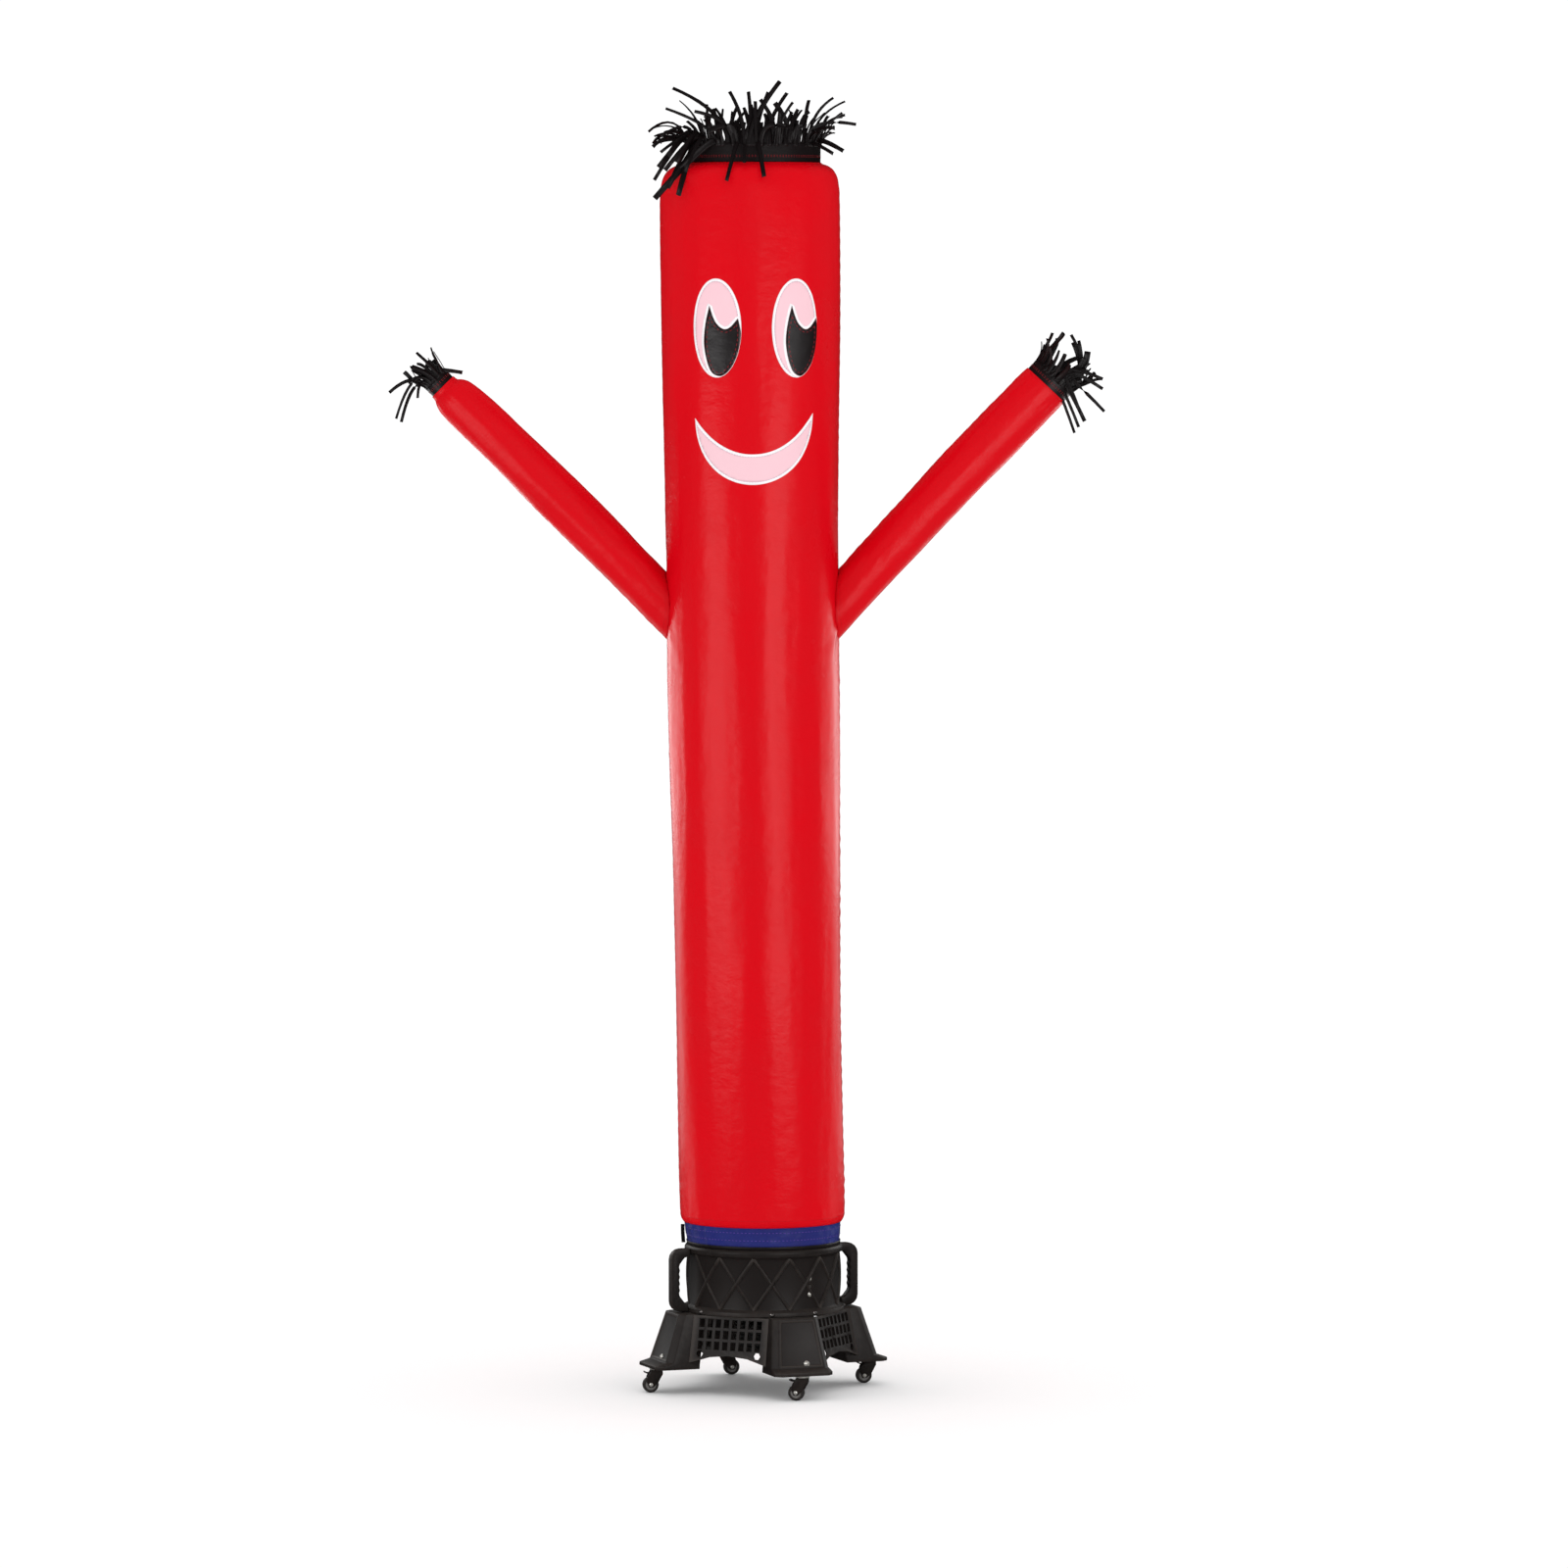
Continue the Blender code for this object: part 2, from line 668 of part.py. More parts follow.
def handle_outline():
    """The handle's side view: reach from the blower's axis and height, grip waves on the inside."""
    corner = HANDLE_CORNER
    points = [(HANDLE_SEAT_BOTTOM, HANDLE_BOTTOM)]
    for centre_z, start in ((HANDLE_BOTTOM + corner, -90), (HANDLE_TOP - corner, 0)):
        for i in range(5):
            angle = math.radians(start + 90 * i / 4)
            reach = HANDLE_REACH - corner + corner * math.cos(angle)
            points.append((reach, centre_z + corner * math.sin(angle)))
    points.append((HANDLE_SEAT_TOP, HANDLE_TOP))
    points.append((HANDLE_SEAT_TOP, HANDLE_TOP - HANDLE_BAR))
    inner_corner = corner - HANDLE_BAR / 2
    grip_reach = HANDLE_REACH - HANDLE_BAR
    grip_high = HANDLE_TOP - HANDLE_BAR - inner_corner
    grip_low = HANDLE_BOTTOM + HANDLE_BAR + inner_corner
    points.append((grip_reach - inner_corner, HANDLE_TOP - HANDLE_BAR))
    for i in range(GRIP_STEPS + 1):
        share = i / GRIP_STEPS
        wave = GRIP_DEPTH * math.cos(2 * math.pi * GRIP_WAVES * share)
        points.append((grip_reach - GRIP_DEPTH - wave, grip_high + share * (grip_low - grip_high)))
    points.append((grip_reach - inner_corner, HANDLE_BOTTOM + HANDLE_BAR))
    points.append((HANDLE_SEAT_BOTTOM, HANDLE_BOTTOM + HANDLE_BAR))
    return points


def build_handles(parent, material):
    for name, turn in (("handle_right", 0.0), ("handle_left", math.pi)):
        bm = prism(handle_outline(), lambda a, b, depth: Vector((a, depth, b)), HANDLE_WIDTH)
        handle = link_object(name, bm, material, parent)
        handle.rotation_euler.z = turn


def leg_loop(leg):
    """One level of a leg, seen from above, with its face to +X."""
    half = [
        (leg.inner, leg.back), (leg.side_reach - 0.02, leg.side), (leg.side_reach, leg.side),
        (leg.outer, leg.face),
    ]
    points = [(x, -y) for x, y in half] + [(x, y) for x, y in reversed(half)]
    return [Vector((x, y, leg.height)) for x, y in points]


def build_legs(parent, material):
    """Four flared legs, each with a stepped foot."""
    for name, azimuth in LEG_AZIMUTHS.items():
        bm = loft([leg_loop(leg) for leg in LEG_LEVELS])
        leg = link_object(f"leg_{name}", bm, material, parent, sharp_angle=20.0)
        leg.rotation_euler.z = math.radians(azimuth)


def leg_side_at(height):
    """Half width of a leg's side at a height."""
    for low, high in zip(LEG_LEVELS, LEG_LEVELS[1:]):
        if low.height <= height <= high.height:
            share = (height - low.height) / (high.height - low.height)
            return low.side + share * (high.side - low.side)
    raise ValueError("no leg at this height")


def panel_point(along, height, inset):
    """A point of the panel that faces +X, flared outwards towards its foot."""
    reach = PANEL_TOP_REACH + PANEL_FLARE * (LEG_TOP - height) - inset
    return Vector((reach, along, height))


def panel_half_width(height):
    """Half width that leaves the gap to the legs, which stand at 45 degrees to the panel."""
    reach = PANEL_TOP_REACH + PANEL_FLARE * (LEG_TOP - height)
    return reach - (leg_side_at(height) + 2 * GAP) * math.sqrt(2)


def build_panels(parent, material):
    """Four grilles with rows of square holes, two round ports and an arched foot."""
    outline = [(panel_half_width(PANEL_TOP), PANEL_TOP), (-panel_half_width(PANEL_TOP), PANEL_TOP)]
    foot_half = panel_half_width(PANEL_FOOT)
    for i in range(PANEL_ARCH_STEPS + 1):
        share = -1 + 2 * i / PANEL_ARCH_STEPS
        outline.append((foot_half * share, PANEL_FOOT + PANEL_ARCH * (1 - share * share)))
    for number, name in enumerate(("right_back", "back_left", "left_front", "front_right")):
        near = [panel_point(a, b, 0.0) for a, b in outline]
        mitre = 1 - PANEL_THICKNESS / panel_half_width(PANEL_TOP)
        far = [panel_point(a * mitre, b, PANEL_THICKNESS) for a, b in outline]
        bm = loft([far, near])
        bmesh.ops.recalc_face_normals(bm, faces=bm.faces)
        panel = link_object(f"grille_{name}", bm, material, parent)
        cutter = link_cutter(f"holes_{name}", grille_holes(), parent)
        for thing in (panel, cutter):
            thing.rotation_euler.z = math.radians(45 + 90 * number)
        add_boolean(panel, "DIFFERENCE", cutter)


def grille_holes():
    """Bars that cut the grille's holes, all in one mesh."""
    bm = bmesh.new()
    width, height = GRILLE_HOLE
    outlines = []
    for column in range(GRILLE_COLUMNS):
        y = (column - (GRILLE_COLUMNS - 1) / 2) * GRILLE_PITCH[0]
        for row in range(GRILLE_ROWS):
            z = GRILLE_MIDDLE + (row - (GRILLE_ROWS - 1) / 2) * GRILLE_PITCH[1]
            outlines.append([
                (y - width / 2, z - height / 2), (y + width / 2, z - height / 2),
                (y + width / 2, z + height / 2), (y - width / 2, z + height / 2),
            ])
    for side in (-1, 1):
        outlines.append([
            (side * PORT_PLACE[0] + PORT_RADIUS * math.cos(a), PORT_PLACE[1] + PORT_RADIUS * math.sin(a))
            for a in circle_angles(PORT_SIDES)
        ])
    for outline in outlines:
        near = [Vector((PANEL_TOP_REACH - 0.02, y, z)) for y, z in outline]
        far = [Vector((PANEL_TOP_REACH + 0.06, y, z)) for y, z in outline]
        rows = skin(bm, [near, far])
        cap(bm, rows[0], flip=True)
        cap(bm, rows[-1])
    return bm


def build_motor(parent, metal, plastic):
    """The motor's can and the cross bracket that carries it between the legs."""
    loops = []
    for radius, height in (
        (MOTOR_RADIUS - MOTOR_CROWN, MOTOR_BOTTOM), (MOTOR_RADIUS, MOTOR_BOTTOM + MOTOR_CROWN),
        (MOTOR_RADIUS, MOTOR_TOP - GAP),
    ):
        loops.append([Vector((radius * math.cos(a), radius * math.sin(a), height)) for a in circle_angles(24)])
    link_object("motor", loft(loops), metal, parent)
    half = BRACKET_WIDTH / 2
    reach = BRACKET_REACH - GAP
    quarter = [Vector((half, half, 0.0)), Vector((half, reach, 0.0)), Vector((-half, reach, 0.0))]
    outline = [
        Matrix.Rotation(turn, 3, "Z") @ point
        for turn in (0.0, math.pi / 2, math.pi, 3 * math.pi / 2)
        for point in quarter
    ]
    loops = [[point + UP * z for point in outline] for z in (MOTOR_TOP, MOTOR_TOP + BRACKET_THICKNESS)]
    link_object("motor_bracket", loft(loops), plastic, parent)


def ring_loop(radius, height, sides, offset=0.0):
    return [
        Vector((radius * math.cos(a + offset), radius * math.sin(a + offset), height))
        for a in circle_angles(sides)
    ]


def fork_mesh():
    """The swivel fork: a hood over the wheel with a cheek on each side, slotted for the wheel."""
    half = WHEEL_HALF_WIDTH + HUB_PROUD + GAP + CHEEK_THICKNESS
    outline = (
        (0.016, FORK_TOP), (-0.016, FORK_TOP), (-0.027, 0.046), (-0.029, 0.030),
        (-CASTOR_TRAIL - 0.006, 0.0150), (-CASTOR_TRAIL + 0.006, 0.0150), (0.004, 0.030), (0.016, 0.052),
    )
    return prism(outline, lambda a, b, depth: Vector((a, depth, b)), 2 * half)


def slot_mesh():
    """Room for the wheel and the pedal inside the fork."""
    half = WHEEL_HALF_WIDTH + HUB_PROUD + GAP
    outline = (
        (-0.060, 0.0), (0.030, 0.0), (0.030, 0.040), (0.010, 0.0490), (0.010, 0.0600), (-0.060, 0.0600),
    )
    return prism(outline, lambda a, b, depth: Vector((a, depth, b)), 2 * half)


def wheel_mesh():
    """A wheel on a sideways axle, with flats so that one lies on the floor."""
    corner = WHEEL_RADIUS / math.cos(math.pi / WHEEL_SIDES)
    turn = math.pi / WHEEL_SIDES
    hub_side = WHEEL_HALF_WIDTH + HUB_PROUD
    loops = [
        ring_loop(HUB_RADIUS, -hub_side, WHEEL_SIDES, turn),
        ring_loop(HUB_RADIUS, -WHEEL_HALF_WIDTH, WHEEL_SIDES, turn),
        ring_loop(corner, -WHEEL_HALF_WIDTH, WHEEL_SIDES, turn),
        ring_loop(corner, WHEEL_HALF_WIDTH, WHEEL_SIDES, turn),
        ring_loop(HUB_RADIUS, WHEEL_HALF_WIDTH, WHEEL_SIDES, turn),
        ring_loop(HUB_RADIUS, hub_side, WHEEL_SIDES, turn),
    ]
    bm = loft(loops)
    bmesh.ops.rotate(bm, verts=bm.verts, matrix=Matrix.Rotation(math.pi / 2, 3, "X"))
    bmesh.ops.recalc_face_normals(bm, faces=bm.faces)
    return bm


def pedal_mesh():
    """The brake pedal, from its pivot back over the wheel, with a turned-up toe."""
    half = WHEEL_HALF_WIDTH + HUB_PROUD
    half_thick = PEDAL_THICKNESS / 2
    outline = (
        (0.0015, -half_thick), (0.0015, half_thick), (-PEDAL_LENGTH + 0.010, half_thick),
        (-PEDAL_LENGTH, half_thick + 0.004), (-PEDAL_LENGTH, 0.004 - half_thick),
        (-PEDAL_LENGTH + 0.010, -half_thick),
    )
    return prism(outline, lambda a, b, depth: Vector((a, depth, b)), 2 * half)


def build_castors(parent, plastic, rubber):
    """A plate, fork, wheel and brake pedal under each leg's foot."""
    for name, azimuth in LEG_AZIMUTHS.items():
        stem = bpy.data.objects.new(f"castor_place_{name}", None)
        bpy.context.scene.collection.objects.link(stem)
        stem.parent = parent
        stem.location = Matrix.Rotation(math.radians(azimuth), 3, "Z") @ Vector((CASTOR_REACH, 0.0, 0.0))
        stem.rotation_euler.z = math.radians(CASTOR_HEADINGS[name] - 180.0) - BLOWER_TURN
        plate_low = LEG_FOOT - GAP - PLATE_THICKNESS
        plate = loft([ring_loop(PLATE_RADIUS, z, 16) for z in (plate_low, LEG_FOOT - GAP)])
        link_object(f"castor_plate_{name}", plate, plastic, stem)
        fork = link_object(f"castor_fork_{name}", fork_mesh(), plastic, stem)
        add_boolean(fork, "DIFFERENCE", link_cutter(f"castor_slot_{name}", slot_mesh(), stem))
        wheel = link_object(f"castor_wheel_{name}", wheel_mesh(), rubber, stem)
        wheel.location = (-CASTOR_TRAIL, 0.0, WHEEL_RADIUS)
        pedal = link_object(f"castor_pedal_{name}", pedal_mesh(), plastic, stem)
        pedal.location = (PEDAL_PIVOT[0], 0.0, PEDAL_PIVOT[1])


def main():
    clear_scene()
    rng = random.Random(18)
    axis = bpy.data.objects.new("blower_axis", None)
    bpy.context.scene.collection.objects.link(axis)
    axis.location = BLOWER_AXIS
    turned = bpy.data.objects.new("blower_turned", None)
    bpy.context.scene.collection.objects.link(turned)
    turned.parent = axis
    turned.rotation_euler.z = BLOWER_TURN
    red = red_nylon()
    black = black_nylon()
    plastic = black_plastic()
    build_tube(axis, red)
    build_arms(axis, red)
    build_face(axis, white_cloth(), black)
    build_hair(axis, black, rng)
    build_hands(axis, black, rng)
    build_skirt(axis, blue_nylon(), black)
    build_drum(turned, plastic)
    build_handles(turned, plastic)
    build_legs(turned, plastic)
    build_panels(turned, plastic)
    build_motor(turned, motor_metal(), plastic)
    build_castors(turned, plastic, black_rubber())


if __name__ == "__main__":
    main()
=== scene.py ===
"""Looks of the inflatable air dancer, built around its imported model. Metres, +Z up, seen from -Y."""

import math
import random
from collections import namedtuple

import bmesh
import bpy
import numpy as np
from bpy.props import FloatProperty, FloatVectorProperty, IntProperty, PointerProperty
from mathutils import Matrix, Vector, noise


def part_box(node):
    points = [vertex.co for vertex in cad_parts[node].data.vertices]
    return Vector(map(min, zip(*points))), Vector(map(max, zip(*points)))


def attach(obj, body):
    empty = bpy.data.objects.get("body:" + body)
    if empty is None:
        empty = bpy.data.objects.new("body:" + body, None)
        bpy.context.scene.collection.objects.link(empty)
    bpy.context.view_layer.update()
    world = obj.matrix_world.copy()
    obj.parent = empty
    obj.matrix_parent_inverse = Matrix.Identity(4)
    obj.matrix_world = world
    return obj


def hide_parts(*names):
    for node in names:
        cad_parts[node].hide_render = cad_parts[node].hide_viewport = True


bl_info = {
    "name": "Air dancer looks",
    "version": (1, 0, 0),
    "blender": (4, 5, 0),
    "location": "3D View > Sidebar > Air dancer",
    "description": "Dresses the packed air dancer in sewn nylon, cut fringes and moulded plastic",
    "category": "Add Mesh",
}

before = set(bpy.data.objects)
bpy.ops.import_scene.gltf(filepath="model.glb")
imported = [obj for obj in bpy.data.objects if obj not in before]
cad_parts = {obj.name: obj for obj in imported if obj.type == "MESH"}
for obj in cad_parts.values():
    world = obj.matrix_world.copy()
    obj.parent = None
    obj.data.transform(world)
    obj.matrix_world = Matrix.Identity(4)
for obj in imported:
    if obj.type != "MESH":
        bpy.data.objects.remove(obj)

UP = Vector((0.0, 0.0, 1.0))
FRONT = Vector((0.0, -1.0, 0.0))
FULL_TURN = 2 * math.pi
CLOTH = 0.0015

# Place and turn of the blower
DRUM_LOW, DRUM_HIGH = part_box("drum")
AXIS = Matrix.Translation(((DRUM_LOW.x + DRUM_HIGH.x) / 2, (DRUM_LOW.y + DRUM_HIGH.y) / 2, 0.0))
BLOWER_TURN = math.radians(20.0)
TURNED = AXIS @ Matrix.Rotation(BLOWER_TURN, 4, "Z")

# Red tube: height, lean of its middle to +X and radius, as in the solid
Ring = namedtuple("Ring", "height lean radius")
TUBE_RINGS = (
    Ring(0.4700, -0.0030, 0.2212),
    Ring(0.4780, -0.0030, 0.2272),
    Ring(0.4920, -0.0030, 0.2305),
    Ring(0.9830, -0.0137, 0.2310),
    Ring(1.3500, -0.0182, 0.2325),
    Ring(1.8000, -0.0247, 0.2368),
    Ring(2.1900, -0.0295, 0.2395),
    Ring(2.4020, -0.0314, 0.2405),
    Ring(2.6200, -0.0330, 0.2445),
    Ring(2.8400, -0.0343, 0.2478),
    Ring(3.0580, -0.0355, 0.2505),
    Ring(3.3200, -0.0370, 0.2505),
    Ring(3.3700, -0.0365, 0.2470),
    Ring(3.4000, -0.0350, 0.2340),
    Ring(3.4150, -0.0320, 0.2120),
    Ring(3.4200, -0.0260, 0.1875),
    Ring(3.4228, -0.0255, 0.1868),
)
FLUTE_END = 3.30
NECK_SEAM = 3.4200
HEM_STITCH = 0.4900
TUBE_RADIUS = 0.2400
TUBE_GIRTH = FULL_TURN * TUBE_RADIUS
TUBE_COLUMNS = 192
TUBE_ROWS = 236
END_CROWDING = 0.62
SEAM_PITCH = 0.034
SEAM_REACH = 0.024
SEAM_GROOVE = 0.0022
# Between which heights the tube is dented, with the height over which the dents fade
DENTS_FROM, DENTS_FROM_FADE = 0.480, 0.10
DENTS_TO, DENTS_TO_FADE = 3.425, 0.06
# Pulls round an arm's root: how far they are looked for, and the ring in which they are
PULL_REACH, PULL_RADIUS, PULL_WIDTH = 0.30, 0.095, 0.055
# Gathers under the neck, and ripples over the hem
GATHER_FROM, GATHER_FADE, GATHER_END = 3.330, 0.07, 0.004
RIPPLE_TO, RIPPLE_MIDDLE, RIPPLE_WIDTH = 0.60, 0.500, 0.035
# Stitches of a side seam: from and to, broken where an arm is, in two rows
SEAM_FROM, SEAM_TO, SEAM_STEPS = 0.50, 3.34, 400
SEAM_BREAK = (2.09, 2.30)
SEAM_ROW_SHIFT = 0.010
BAND_STEPS = 240

# Sleeves: distance along the arm, sideways bend and radius
Sleeve = namedtuple("Sleeve", "along bend radius")
ARM_START = -0.120
ARM_ROOTS = {"left": (-0.2700, 2.1900), "right": (0.2120, 2.1980)}
ARM_SLOPES = {"left": math.radians(135.0), "right": math.radians(46.8)}
ARM_RINGS = {
    "left": (
        Sleeve(0.060, 0.000, 0.0655),
        Sleeve(0.300, 0.004, 0.0680),
        Sleeve(0.520, 0.003, 0.0690),
        Sleeve(0.740, 0.000, 0.0655),
        Sleeve(0.825, -0.003, 0.0610),
        Sleeve(0.851, -0.006, 0.0500),
        Sleeve(0.857, -0.008, 0.0425),
        Sleeve(0.872, -0.008, 0.0415),
    ),
    "right": (
        Sleeve(0.060, 0.000, 0.0660),
        Sleeve(0.280, -0.003, 0.0690),
        Sleeve(0.520, -0.004, 0.0715),
        Sleeve(0.740, 0.000, 0.0725),
        Sleeve(0.815, 0.002, 0.0715),
        Sleeve(0.836, 0.003, 0.0705),
    ),
}
ARM_HEIGHT = 2.195
ARM_PHASES = {"left": 11.0, "right": 5.0}
SLEEVE_RADIUS = 0.068
SLEEVE_CROWDING = 0.45
ARM_COLUMNS = 80
ARM_ROWS = 120
# Stitches of a sleeve: two rows round its root, one before its end, and two along its seam
ROOT_ROWS = (0.006, 0.016)
END_ROW = 0.006
SLEEVE_SEAM_FROM, SLEEVE_SEAM_SHORT, SLEEVE_SEAM_STEPS = 0.12, 0.16, 160
SLEEVE_ROW_SHIFT = 0.007

# Soft dents in the blown cloth: share of the full depth, and how close they stand
Crease = namedtuple("Crease", "share around along shift")
TUBE_CREASES = (Crease(1.0, 2.1, 1.3, 0), Crease(0.45, 6.5, 3.4, 7), Crease(0.16, 21, 23, 3))
SLEEVE_CREASES = (Crease(0.9, 1.2, 4.0, 0), Crease(0.5, 2.8, 9.0, 0), Crease(0.2, 6.5, 26.0, 0))

# How far stitches stand off their cloth
STITCH_LIFT = 0.0002

# Face, measured along the cloth
FACE_TURN = math.radians(4.0)
EYE_ANGLE = math.radians(26.2)
EYE_HEIGHT = 2.965
EYE_HALF = (0.0715, 0.1365)
MOUTH_TURN = math.radians(2.4)
MOUTH_TIP_HEIGHT = 2.7230
MOUTH_HALF_WIDTH = 0.1757
MOUTH_OUTER_DEPTH = 0.1900
MOUTH_INNER_DEPTH = 0.1060
MOUTH_TILT = 0.040
FACE_BORDER = 0.0075
PUPIL = (
    (-0.31, 0.46), (-0.17, 0.24), (0.00, 0.08), (0.27, -0.02), (0.53, 0.02), (0.84, 0.20),
    (0.96, -0.12), (0.90, -0.44), (0.73, -0.70), (0.45, -0.90), (0.12, -0.98), (-0.18, -0.93),
    (-0.36, -0.79), (-0.50, -0.54), (-0.56, -0.25), (-0.48, 0.10),
)
PUPIL_HORN = 5
PUPIL_FIT = 0.990
PUPIL_SHIFT = {"left": 0.04, "right": 0.11}
PATCH_CELL = 0.0085
# The least share of its flat size that a patch's area is reckoned at; build_patch works this sum out but does
# not use it
LEAST_FILL = 0.301
# Heights of the layers of the face over the cloth, and their thickness
Layer = namedtuple("Layer", "low thick")
BASE_LAYER = Layer(0.0003, 0.0006)
FILL_LAYER = Layer(0.0009, 0.0004)
MARGIN_LAYER = Layer(0.0013, 0.0003)
PUPIL_LAYER = Layer(0.0016, 0.0007)

# Skirt over the blower's outlet
SKIRT_RINGS = (
    Ring(0.4072, 0.0000, 0.2118),
    Ring(0.4620, -0.0030, 0.2178),
    Ring(0.4700, -0.0030, 0.2188),
    Ring(0.4780, -0.0030, 0.2242),
    Ring(0.4980, -0.0030, 0.2275),
)
SKIRT_STITCHES = (0.4560, 0.4345)
SKIRT_RADIUS = 0.2178
SKIRT_COLUMNS = 288
SKIRT_OVERLAP = math.radians(224.0)
STRAP_LOW = 0.4070
STRAP_WIDTH = 0.0102
STRAP_RADIUS = 0.2140
STRAP_LIFT = 0.0030
TAG_WIDTH = 0.0105

# Fringes: bands, and the locks by zones round them
Zone = namedtuple("Zone", "start end length first_tilt last_tilt")
HAIR_RADIUS = 0.1843
HAIR_LEAN = -0.0255
HAIR_LOW = 3.4210
HAIR_TOP = 3.4720
HAIR_ZONES = (
    Zone(-40, 25, 0.120, 18, 80),
    Zone(25, 80, 0.125, 10, 56),
    Zone(80, 150, 0.140, 2, 30),
    Zone(150, 215, 0.145, 40, 140),
    Zone(215, 245, 0.105, 6, 48),
    Zone(245, 285, 0.110, -8, -16),
    Zone(285, 320, 0.130, 2, 26),
)
HAND_BANDS = {"left": (0.8670, 0.9020, 0.0390), "right": (0.8310, 0.8660, 0.0680)}
HAND_ZONES = {
    "left": (Zone(-60, 120, 0.074, 2, 16), Zone(120, 300, 0.092, 8, 30)),
    "right": (Zone(-60, 120, 0.095, 6, 30), Zone(120, 300, 0.105, 10, 46)),
}
# Locks at random: shares of the zone's length and of a lock's width, and degrees either way
LENGTH_SHARES = (0.42, 1.08)
WIDTH_SHARES = (0.75, 1.15)
FIRST_SPREAD, LAST_SPREAD, YAW_SPREAD, WAVE_SPREAD = 12, 26, 38, 14
LOCK_TWIST, FEATURE_TWIST = 42, 20
LOCK_CURLS, FEATURE_CURLS = (0.12, 0.34), (0.08, 0.22)
FRINGE_WALL = 0.0006
BAND_STITCHES = (0.0165, 0.0205)
# Locks that show one by one: root's angle round the band, how far they rise along it, and their end
Feature = namedtuple("Feature", "angle rise x z depth width")
HAIR_FEATURES = (
    Feature(247, 0.090, -0.251, 3.628, -0.100, 0.013),
    Feature(236, 0.050, -0.270, 3.571, -0.120, 0.011),
    Feature(252, 0.070, -0.190, 3.562, -0.180, 0.013),
    Feature(262, 0.075, -0.093, 3.617, -0.150, 0.012),
    Feature(268, 0.070, -0.041, 3.617, -0.130, 0.013),
    Feature(272, 0.050, -0.022, 3.590, -0.170, 0.012),
    Feature(265, 0.060, 0.046, 3.645, -0.150, 0.017),
    Feature(271, 0.055, 0.014, 3.617, -0.120, 0.013),
    Feature(280, 0.060, 0.066, 3.614, -0.140, 0.013),
    Feature(290, 0.060, 0.082, 3.587, -0.190, 0.011),
    Feature(302, 0.060, 0.096, 3.568, -0.160, 0.013),
    Feature(312, 0.075, 0.128, 3.562, -0.130, 0.014),
    Feature(325, 0.085, 0.194, 3.601, -0.100, 0.011),
    Feature(330, 0.080, 0.227, 3.592, -0.060, 0.008),
    Feature(322, 0.080, 0.257, 3.527, -0.110, 0.012),
    Feature(332, 0.060, 0.199, 3.516, -0.140, 0.015),
    Feature(336, 0.030, 0.222, 3.453, -0.130, 0.016),
    Feature(328, 0.014, 0.194, 3.445, -0.170, 0.011),
    Feature(200, 0.060, -0.292, 3.410, -0.070, 0.013),
    Feature(196, 0.070, -0.303, 3.374, -0.030, 0.013),
    Feature(214, 0.065, -0.284, 3.450, -0.120, 0.011),
    Feature(206, 0.085, -0.284, 3.494, -0.100, 0.011),
    Feature(238, 0.052, -0.300, 3.322, -0.155, 0.019),
    Feature(210, 0.050, -0.234, 3.331, -0.200, 0.017),
    Feature(219, 0.045, -0.262, 3.350, -0.180, 0.013),
    Feature(224, 0.070, -0.215, 3.395, -0.205, 0.012),
    Feature(208, 0.080, -0.262, 3.440, -0.160, 0.020),
    Feature(216, 0.075, -0.240, 3.420, -0.190, 0.020),
    Feature(222, 0.070, -0.272, 3.400, -0.150, 0.016),
    Feature(210, 0.050, -0.250, 3.385, -0.150, 0.012),
    Feature(256, 0.022, -0.101, 3.369, -0.262, 0.014),
    Feature(273, 0.022, 0.003, 3.380, -0.268, 0.014),
    Feature(262, 0.008, -0.052, 3.420, -0.240, 0.012),
    Feature(254, 0.080, -0.152, 3.505, -0.215, 0.018),
    Feature(276, 0.070, 0.060, 3.520, -0.205, 0.017),
    Feature(292, 0.070, 0.072, 3.515, -0.200, 0.017),
    Feature(306, 0.060, 0.120, 3.520, -0.170, 0.017),
)
HAND_FEATURES = {
    "left": (
        Feature(300, 0.060, -0.9318, 2.8740, -0.030, 0.020),
        Feature(280, 0.060, -0.9632, 2.8640, -0.040, 0.011),
        Feature(262, 0.050, -0.9550, 2.8337, -0.045, 0.013),
        Feature(245, 0.050, -0.9852, 2.8091, -0.035, 0.011),
        Feature(250, 0.075, -1.0200, 2.7125, -0.060, 0.010),
        Feature(225, 0.060, -1.0405, 2.7846, -0.020, 0.011),
        Feature(215, 0.055, -1.0063, 2.7027, -0.045, 0.010),
        Feature(320, 0.010, -0.8370, 2.8400, -0.010, 0.014),
        Feature(232, 0.040, -0.9600, 2.7700, -0.060, 0.010),
    ),
    "right": (
        Feature(15, 0.090, 0.8558, 2.9456, -0.010, 0.012),
        Feature(350, 0.070, 0.8600, 2.9238, -0.030, 0.015),
        Feature(335, 0.070, 0.8764, 2.9292, -0.040, 0.013),
        Feature(322, 0.070, 0.9009, 2.8992, -0.050, 0.020),
        Feature(306, 0.060, 0.8900, 2.8828, -0.070, 0.016),
        Feature(292, 0.050, 0.8764, 2.8610, -0.075, 0.011),
        Feature(282, 0.050, 0.9009, 2.8446, -0.080, 0.014),
        Feature(262, 0.050, 0.9419, 2.8228, -0.080, 0.011),
        Feature(250, 0.045, 0.9419, 2.7955, -0.075, 0.012),
        Feature(232, 0.040, 0.9473, 2.7327, -0.065, 0.014),
        Feature(222, 0.050, 0.8927, 2.7054, -0.060, 0.012),
        Feature(212, 0.045, 0.8764, 2.6890, -0.050, 0.012),
        Feature(202, 0.040, 0.8654, 2.6727, -0.035, 0.011),
        Feature(240, 0.060, 0.8800, 2.7300, -0.085, 0.011),
    ),
}

